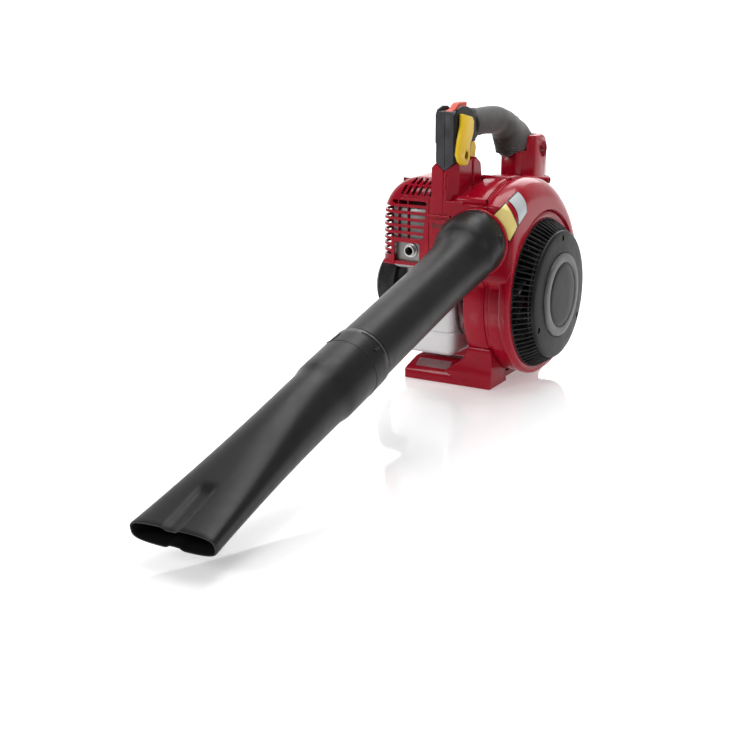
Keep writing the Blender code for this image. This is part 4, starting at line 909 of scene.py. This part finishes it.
# ---- column, switch box and handle
def make_column():
    rounded(box("duct_wall", (HANDLE_X - 0.007, FRONT_Y + 0.0004, 0.152), (-0.02, -0.03, 0.249)), RED, 0.0016, 4)
    rounded(prism("deck_plate", [(-0.0655, -0.034), (-0.0655, 0.17), (-0.02, 0.17), (-0.02, -0.034)], "Z",
        DECK_Z - 0.01, DECK_Z), RED, 0.002)
    rounded(box("deck_edge_strip", (-0.0215, -0.03, DECK_Z - 0.0062), (-0.0192, 0.16, DECK_Z - 0.0022)), BLACK,
        0.0005)
    refined("column_left_shell", "column_left", RED, width=0.0014)
    right = copy_of("column_right_shell", "column_right")
    pocket = [(-0.0452, 0.278), (-0.04, 0.289), (-0.0345, 0.287), (-0.0352, 0.265), (-0.04, 0.2585), (-0.0448, 0.264)]
    carve(right, prism("column_recess", pocket, "Y", -0.12, -0.1042))
    place(soften(right, 0.0011), RED, ["column_right"], 0)
    for number, (low, high, left, right_end) in enumerate(((0.2268, 0.23, -0.068, -0.0375),
            (0.2188, 0.224, -0.0676, -0.0405)), 1):
        rounded(box(f"column_rib_{number}", (left, FRONT_Y - 0.0024, low), (right_end, FRONT_Y + 0.003, high)), RED,
            0.0011)
    # Dark red strip under the ribs paints the shade they cast.
    rounded(box("column_rib_shade", (-0.064, FRONT_Y - 0.0006, 0.212), (-0.0415, FRONT_Y + 0.002, 0.2186)), PAINTED_SHADE_RED,
        0.0005)
    rounded(prism("column_fairing", [(FRONT_Y, 0.246), (FRONT_Y + 0.0015, 0.25), (-0.09, 0.2552), (-0.065, 0.2612),
        (-0.034, 0.2668), (-0.029, 0.264), (-0.029, 0.246)], "X", -0.036, -0.02), RED, 0.002)
    rounded(prism("column_shoulder", [(-0.056, 0.247), (-0.056, 0.295), (-0.048, 0.299), (-0.0345, 0.29),
        (-0.03, 0.27), (-0.025, 0.247)], "X", -0.0455, -0.03), RED, 0.0014)


def make_switch_box():
    refined("box_left_shell", "switch_box_left", GREY, width=0.0012)
    refined("box_right_shell", "switch_box_right", GREY, width=0.0012)
    plate = [(-0.1035, 0.32), (-0.1035, 0.356), (-0.099, 0.362), (-0.0868, 0.3655), (-0.074, 0.3645),
        (-0.064, 0.3595), (-0.058, 0.35), (-0.058, 0.32)]
    rounded(prism("side_plate_left", plate, "X", HANDLE_X - 0.0149, HANDLE_X - 0.012), GREY, 0.0009)
    refined("side_plate_right", "lever_plate", BLACK, width=0.0009)
    lever = soften(copy_of("hold_lever", "cruise_lever"), 0.0012)
    hole = [(-0.0866 + 0.0052 * cos(t), 0.3049 + 0.0052 * sin(t)) for t in [radians(12 * i) for i in range(17, 44)]]
    carve(lever, prism("tear_hole", hole + [(-0.085, 0.3165)], "X", -0.04, -0.02))
    place(lever, YELLOW, ["cruise_lever"], 32, "cruise_lever")
    refined("trigger_finger", "throttle_trigger", YELLOW, "trigger", 0.0012)
    refined("stop_slider", "stop_switch", ORANGE, "stop_switch", 0.0012)
    for number in range(4):
        y = -0.07 + 0.0036 * number
        place(soften(box(f"slider_ridge_{number + 1}", (HANDLE_X - 0.004, y, 0.3678),
            (HANDLE_X + 0.004, y + 0.0016, 0.3686)), 0.0003, 2), ORANGE, angle=0, body="stop_switch")
    rounded(box("box_seam_line", (HANDLE_X - 0.0006, FRONT_Y - 0.0002, 0.29), (HANDLE_X + 0.0006, FRONT_Y + 0.001,
        0.348)), BLACK, 0.0002, 1)


GRIP_STATIONS = [(-0.0415, 0.3385, 0.017, 0.0172), (-0.03, 0.3388, 0.0175, 0.0178), (0, 0.339, 0.0176, 0.0177),
    (0.024, 0.3378, 0.0177, 0.0182), (0.045, 0.3358, 0.0178, 0.0182), (0.06, 0.3305, 0.018, 0.0196),
    (0.072, 0.3245, 0.0182, 0.0228), (0.0825, 0.315, 0.0184, 0.029), (0.094, 0.3075, 0.0185, 0.0325),
    (0.108, 0.3025, 0.0185, 0.03), (0.124, 0.2995, 0.0184, 0.0215), (0.136, 0.2985, 0.0182, 0.0135)]


def make_handle():
    rows = in_between(GRIP_STATIONS, 7)
    rings = []
    for k, (y, z, wide, high) in enumerate(rows):
        ahead = rows[min(k + 1, len(rows) - 1)]
        back = rows[max(k - 1, 0)]
        slope = atan2(ahead[1] - back[1], ahead[0] - back[0])
        slope = max(slope, radians(-52))
        if y > 0.0825:
            slope = radians(-52) + radians(20) * min(1, (y - 0.0825) / 0.05)
        up = Vector((0, -sin(slope), cos(slope)))
        rings.append([Vector((HANDLE_X + wide * cos(tau * i / 48), y, z)) + up * (high * sin(tau * i / 48))
            for i in range(48)])
    front = [Vector((HANDLE_X, rings[0][0].y - 0.0012, GRIP_STATIONS[0][1])) + (p - Vector((HANDLE_X, p.y,
        GRIP_STATIONS[0][1]))) * 0.9 for p in rings[0]]
    back = [sum(rings[-1], Vector()) / 48 + (p - sum(rings[-1], Vector()) / 48) * 0.8 + Vector((0, 0.003, -0.001))
        for p in rings[-1]]
    grip = loft("foam_sleeve", [front] + rings + [back], caps=True)
    for vertex in grip.data.vertices:
        if vertex.co.z < 0.2895 and vertex.co.y > 0.08:
            vertex.co.z = 0.2895
    place(grip, FOAM, ["handle_grip"], 60)
    refined("handle_core", "handle_frame", GREY, width=0)
    for number in range(6):
        z = 0.29 + 0.003 * number
        y = 0.0655 - 0.0012 * number
        line = curve_points([(HANDLE_X - 0.015, y + 0.018, z), (HANDLE_X - 0.01, y + 0.0045, z), (HANDLE_X, y, z),
            (HANDLE_X + 0.01, y + 0.0045, z), (HANDLE_X + 0.015, y + 0.018, z)], 4)
        place(sweep(f"gusset_rib_{number + 1}", line, (0.0016, 0.0012), 10, (0, 0, 1)), RUBBER, angle=50)


def make_bracket():
    side = [(0.086, DECK_Z + 0.0003), (0.09, 0.2885), (0.1, 0.289), (0.1105, 0.3095), (0.1413, 0.309),
        (0.153, 0.3035), (0.16, 0.295), (0.174, DECK_Z + 0.0003)]
    bracket = prism("bracket_shell", side, "X", HANDLE_X - 0.03, HANDLE_X + 0.03)
    plan = [(-0.011, 0.08), (0.011, 0.08), (0.0125, 0.1), (0.028, 0.115), (0.028, 0.15), (0.02, 0.18), (-0.019, 0.18),
        (-0.024, 0.15), (-0.024, 0.115), (-0.0125, 0.1)]
    tool = prism("bracket_plan", [(HANDLE_X + x, y) for x, y in plan], "Z", 0.23, 0.33)
    carve(bracket, tool, operation="INTERSECT")
    soften(bracket, 0.0028, 4)
    room = box("grip_space", (HANDLE_X - 0.0187, 0.07, 0.289), (HANDLE_X + 0.0187, 0.14, 0.33))
    pocket = box("shoe_space", (HANDLE_X - 0.0109, 0.0945, 0.264), (HANDLE_X + 0.0109, 0.15, 0.33))
    hole = rod("ear_hole", (HANDLE_X + 0.02, *EAR_HOLE), (HANDLE_X + 0.04, *EAR_HOLE), 0.0105, steps=48)
    carve(bracket, room, pocket, hole)
    place(bracket, RED, ["rear_bracket"], 34)
    place(lathe("ear_hole_lip", [(0.0104, 0.027), (0.0108, 0.0281), (0.0117, 0.0284), (0.0125, 0.028),
        (0.0128, 0.0268)], (HANDLE_X, *EAR_HOLE), (1, 0, 0), 56, closed=True), RED, angle=60)
    place(lathe("ear_hole_floor", [(0, 0.021), (0.01, 0.021), (0.0103, 0.0206), (0.0103, 0.0198), (0, 0.0198)],
        (HANDLE_X, *EAR_HOLE), (1, 0, 0), 48), BLACK, angle=40)
    refined("handle_bolt_shank", "handle_bolt", STEEL, width=0)


# ---- engine
def shroud_block(name, inset):
    """Block whose upper outer corner is a large arc and whose front edge is rounded all the way round."""
    radius = SHROUD_DOME - inset
    arc = [(SHROUD_LEFT_X + SHROUD_DOME - radius * cos(radians(5 * i)), SHROUD_TOP_Z - SHROUD_DOME + radius
        * sin(radians(5 * i))) for i in range(19)]
    outline = [(SHROUD_LEFT_X + inset, 0.05)] + arc + [(0, SHROUD_TOP_Z - inset), (0, 0.05)]
    return soften(prism(name, outline, "Y", SHROUD_FRONT_Y + inset, 0.13), 0.022 - inset, 10, 50)


def make_shroud():
    shell = shroud_block("shroud_cover", 0)
    tools = [shroud_block("shroud_space", SKIN), box("open_right", (-0.0665, -0.2, 0), (0.1, 0.2, 0.4)),
        box("open_rear", (-0.3, 0.042, 0), (0.1, 0.2, 0.4)), box("open_bottom", (-0.3, -0.2, 0), (0.1, 0.2, 0.156)),
        soften(box("exhaust_window", (-0.1268, -0.11, 0.14), (-0.0895, -0.07, 0.1868)), 0.003)]
    for number in range(6):
        z = 0.1925 + 0.0089 * number
        left = -0.16 if number < 5 else -0.13
        tools.append(soften(box("vent", (left, -0.11, z), (-0.079 - 0.001 * (5 - number), -0.058, z + 0.0052)),
            0.0016))
    for number in range(3):
        z = 0.1845 - 0.0082 * number
        tools.append(soften(box("vent", (-0.16, -0.11, z), (-0.131, -0.058, z + 0.0045)), 0.0016))
    for low, high, first, count, deep in ((0.25, 0.2614, -0.118, 6, -0.056), (0.2634, 0.2706, -0.105, 4, -0.04)):
        for number in range(count):
            x = first + 0.0082 * number
            lean = (high - low) * 0.45
            slot = prism("vent", [(x, low), (x + 0.0042, low), (x + 0.0042 + lean, high), (x + lean, high)], "Y",
                -0.11, deep)
            tools.append(slot)
    tools.append(box("panel_groove", (-0.144, -0.11, 0.2462), (-0.075, -0.0912, 0.2476)))
    tools.append(box("panel_groove", (-0.0762, -0.11, 0.15), (-0.075, -0.0912, 0.2462)))
    carve(shell, *tools)
    place(shell, RED, ["engine_shroud"], 32)
    for number, x in enumerate((-0.122, -0.108), 1):
        rounded(box(f"shroud_bar_{number}", (x - 0.0011, -0.089, 0.188), (x + 0.0011, -0.0862, 0.244)), RED, 0.0006,
            2)
    # Dark red plate behind the dome slots paints the shade inside the shroud.
    rounded(box("shroud_painted_shade_plate", (-0.133, -0.056, 0.244), (-0.068, -0.0545, 0.266)), PAINTED_SHADE_RED, 0.0004, 2)
    rounded(box("shroud_ledge", (-0.144, -0.0912, 0.1562), (-0.09, -0.084, 0.1612)), RED, 0.0014)


def make_engine():
    refined("muffler_shell", "muffler", MUFFLER, width=0.0012)
    refined("exhaust_ring", "exhaust_outlet", STEEL, width=0.0005)
    saddle = [(-0.075, 0.034), (-0.075, 0.105), (-0.042, 0.105), (-0.04, 0.078), (0.04, 0.078), (0.042, 0.105),
        (0.075, 0.105), (0.075, 0.034)]
    place(soften(prism("tank_shell", saddle, "X", -0.144, -0.046), 0.011, 6), TANK, ["fuel_tank"], 40)
    place(lathe("tank_neck", [(0.012, 0.14), (0.015, 0.14), (0.015, 0.15), (0.0145, 0.1509), (0.0125, 0.1509),
        (0.012, 0.15)], (0, *FILLER), (-1, 0, 0), 64, closed=True), TANK, angle=40)
    place(soften(box("tank_seam", (-0.145, -0.0758, 0.066), (-0.045, 0.0758, 0.0675)), 0.0006, 2), TANK, angle=40)
    refined("tank_cap", "fuel_cap", BLACK, "fuel_cap", 0.0012)
    refined("starter_dish", "starter_case", BLACK, width=0)
    refined("air_case", "air_cleaner_case", BLACK, width=0.0015)
    refined("air_lid", "air_cleaner_cover", BLACK, "air_cover", 0.0035, 4)
    refined("carburettor_body", "carburettor", ALLOY, width=0.001)
    refined("choke_arm", "choke_lever", BLACK, "choke", 0.0008)
    refined("rocker_lid", "rocker_cover", ALLOY, width=0.002)
    refined("coil_block", "ignition_coil", BLACK, width=0.0012)
    refined("pull_handle", "starter_grip", BLACK, "starter_pull", 0.0016)
    for number in range(5):
        turn = radians(-60 + 30 * number)
        y = 0.0405 * sin(turn)
        z = STARTER_Z + 0.0405 * cos(turn)
        place(rod(f"starter_rib_{number + 1}", (-0.1815, y * 0.45, STARTER_Z + (z - STARTER_Z) * 0.45),
            (-0.1805, y, z), 0.0016, 0.0012, 16), BLACK, angle=50)


def make_rope():
    """Starter rope: a straight cord whose lower end sits in the case; it does not follow the grip and belongs to no
    body.
    """
    low = Vector((*ROPE, 0.125))
    high = Vector((*ROPE, 0.1637))
    rope = sweep("pull_rope", [low.lerp(high, i / 32) for i in range(33)], (0.0012, 0.0012), 12)
    place(rope, RUBBER, ["starter_rope"], 60, None)
    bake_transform(rope)


SLOT_LOOKS = {"red_plastic": RED, "black_plastic": BLACK, "grey_plastic": GREY, "foam": FOAM,
    "yellow_plastic": YELLOW, "orange_plastic": ORANGE, "tank_plastic": TANK, "steel": STEEL, "aluminium": ALLOY,
    "rubber": RUBBER, "badge": BADGE_RING}


def dress_cad():
    """Give every carried-over CAD node its worked surface."""
    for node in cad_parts.values():
        for slot in node.material_slots:
            if slot.material and slot.material.name.split(".")[0] in SLOT_LOOKS:
                slot.material = SLOT_LOOKS[slot.material.name.split(".")[0]]


def make_labels():
    ground = bpy.data.objects["housing_outer"]
    bpy.context.view_layer.update()
    yellow = [(0.0326, -0.0933, 0.251), (0.0217, -0.106, 0.236), (0.044, -0.1035, 0.2035), (0.0495, -0.0915, 0.2215)]
    silver = [(0.0355, -0.065, 0.2612), (0.0335, -0.089, 0.2525), (0.051, -0.0885, 0.2235), (0.052, -0.064, 0.237)]
    for name, look, corners in (("plate_a", YELLOW_LABEL, yellow), ("plate_b", SILVER_LABEL, silver)):
        curved_label(name + "_border", BLACK, corners, ground, 0.03, 0.0003)
        curved_label(name, look, corners, ground, -0.05, 0.0006)


def main():
    for step in (make_pipe, make_nozzle, make_volute, make_flange, make_grille, make_cover, make_bosses, make_base,
            make_column, make_switch_box, make_handle, make_bracket, make_shroud, make_engine, make_rope, make_labels,
            dress_cad, studio):
        step()


main()
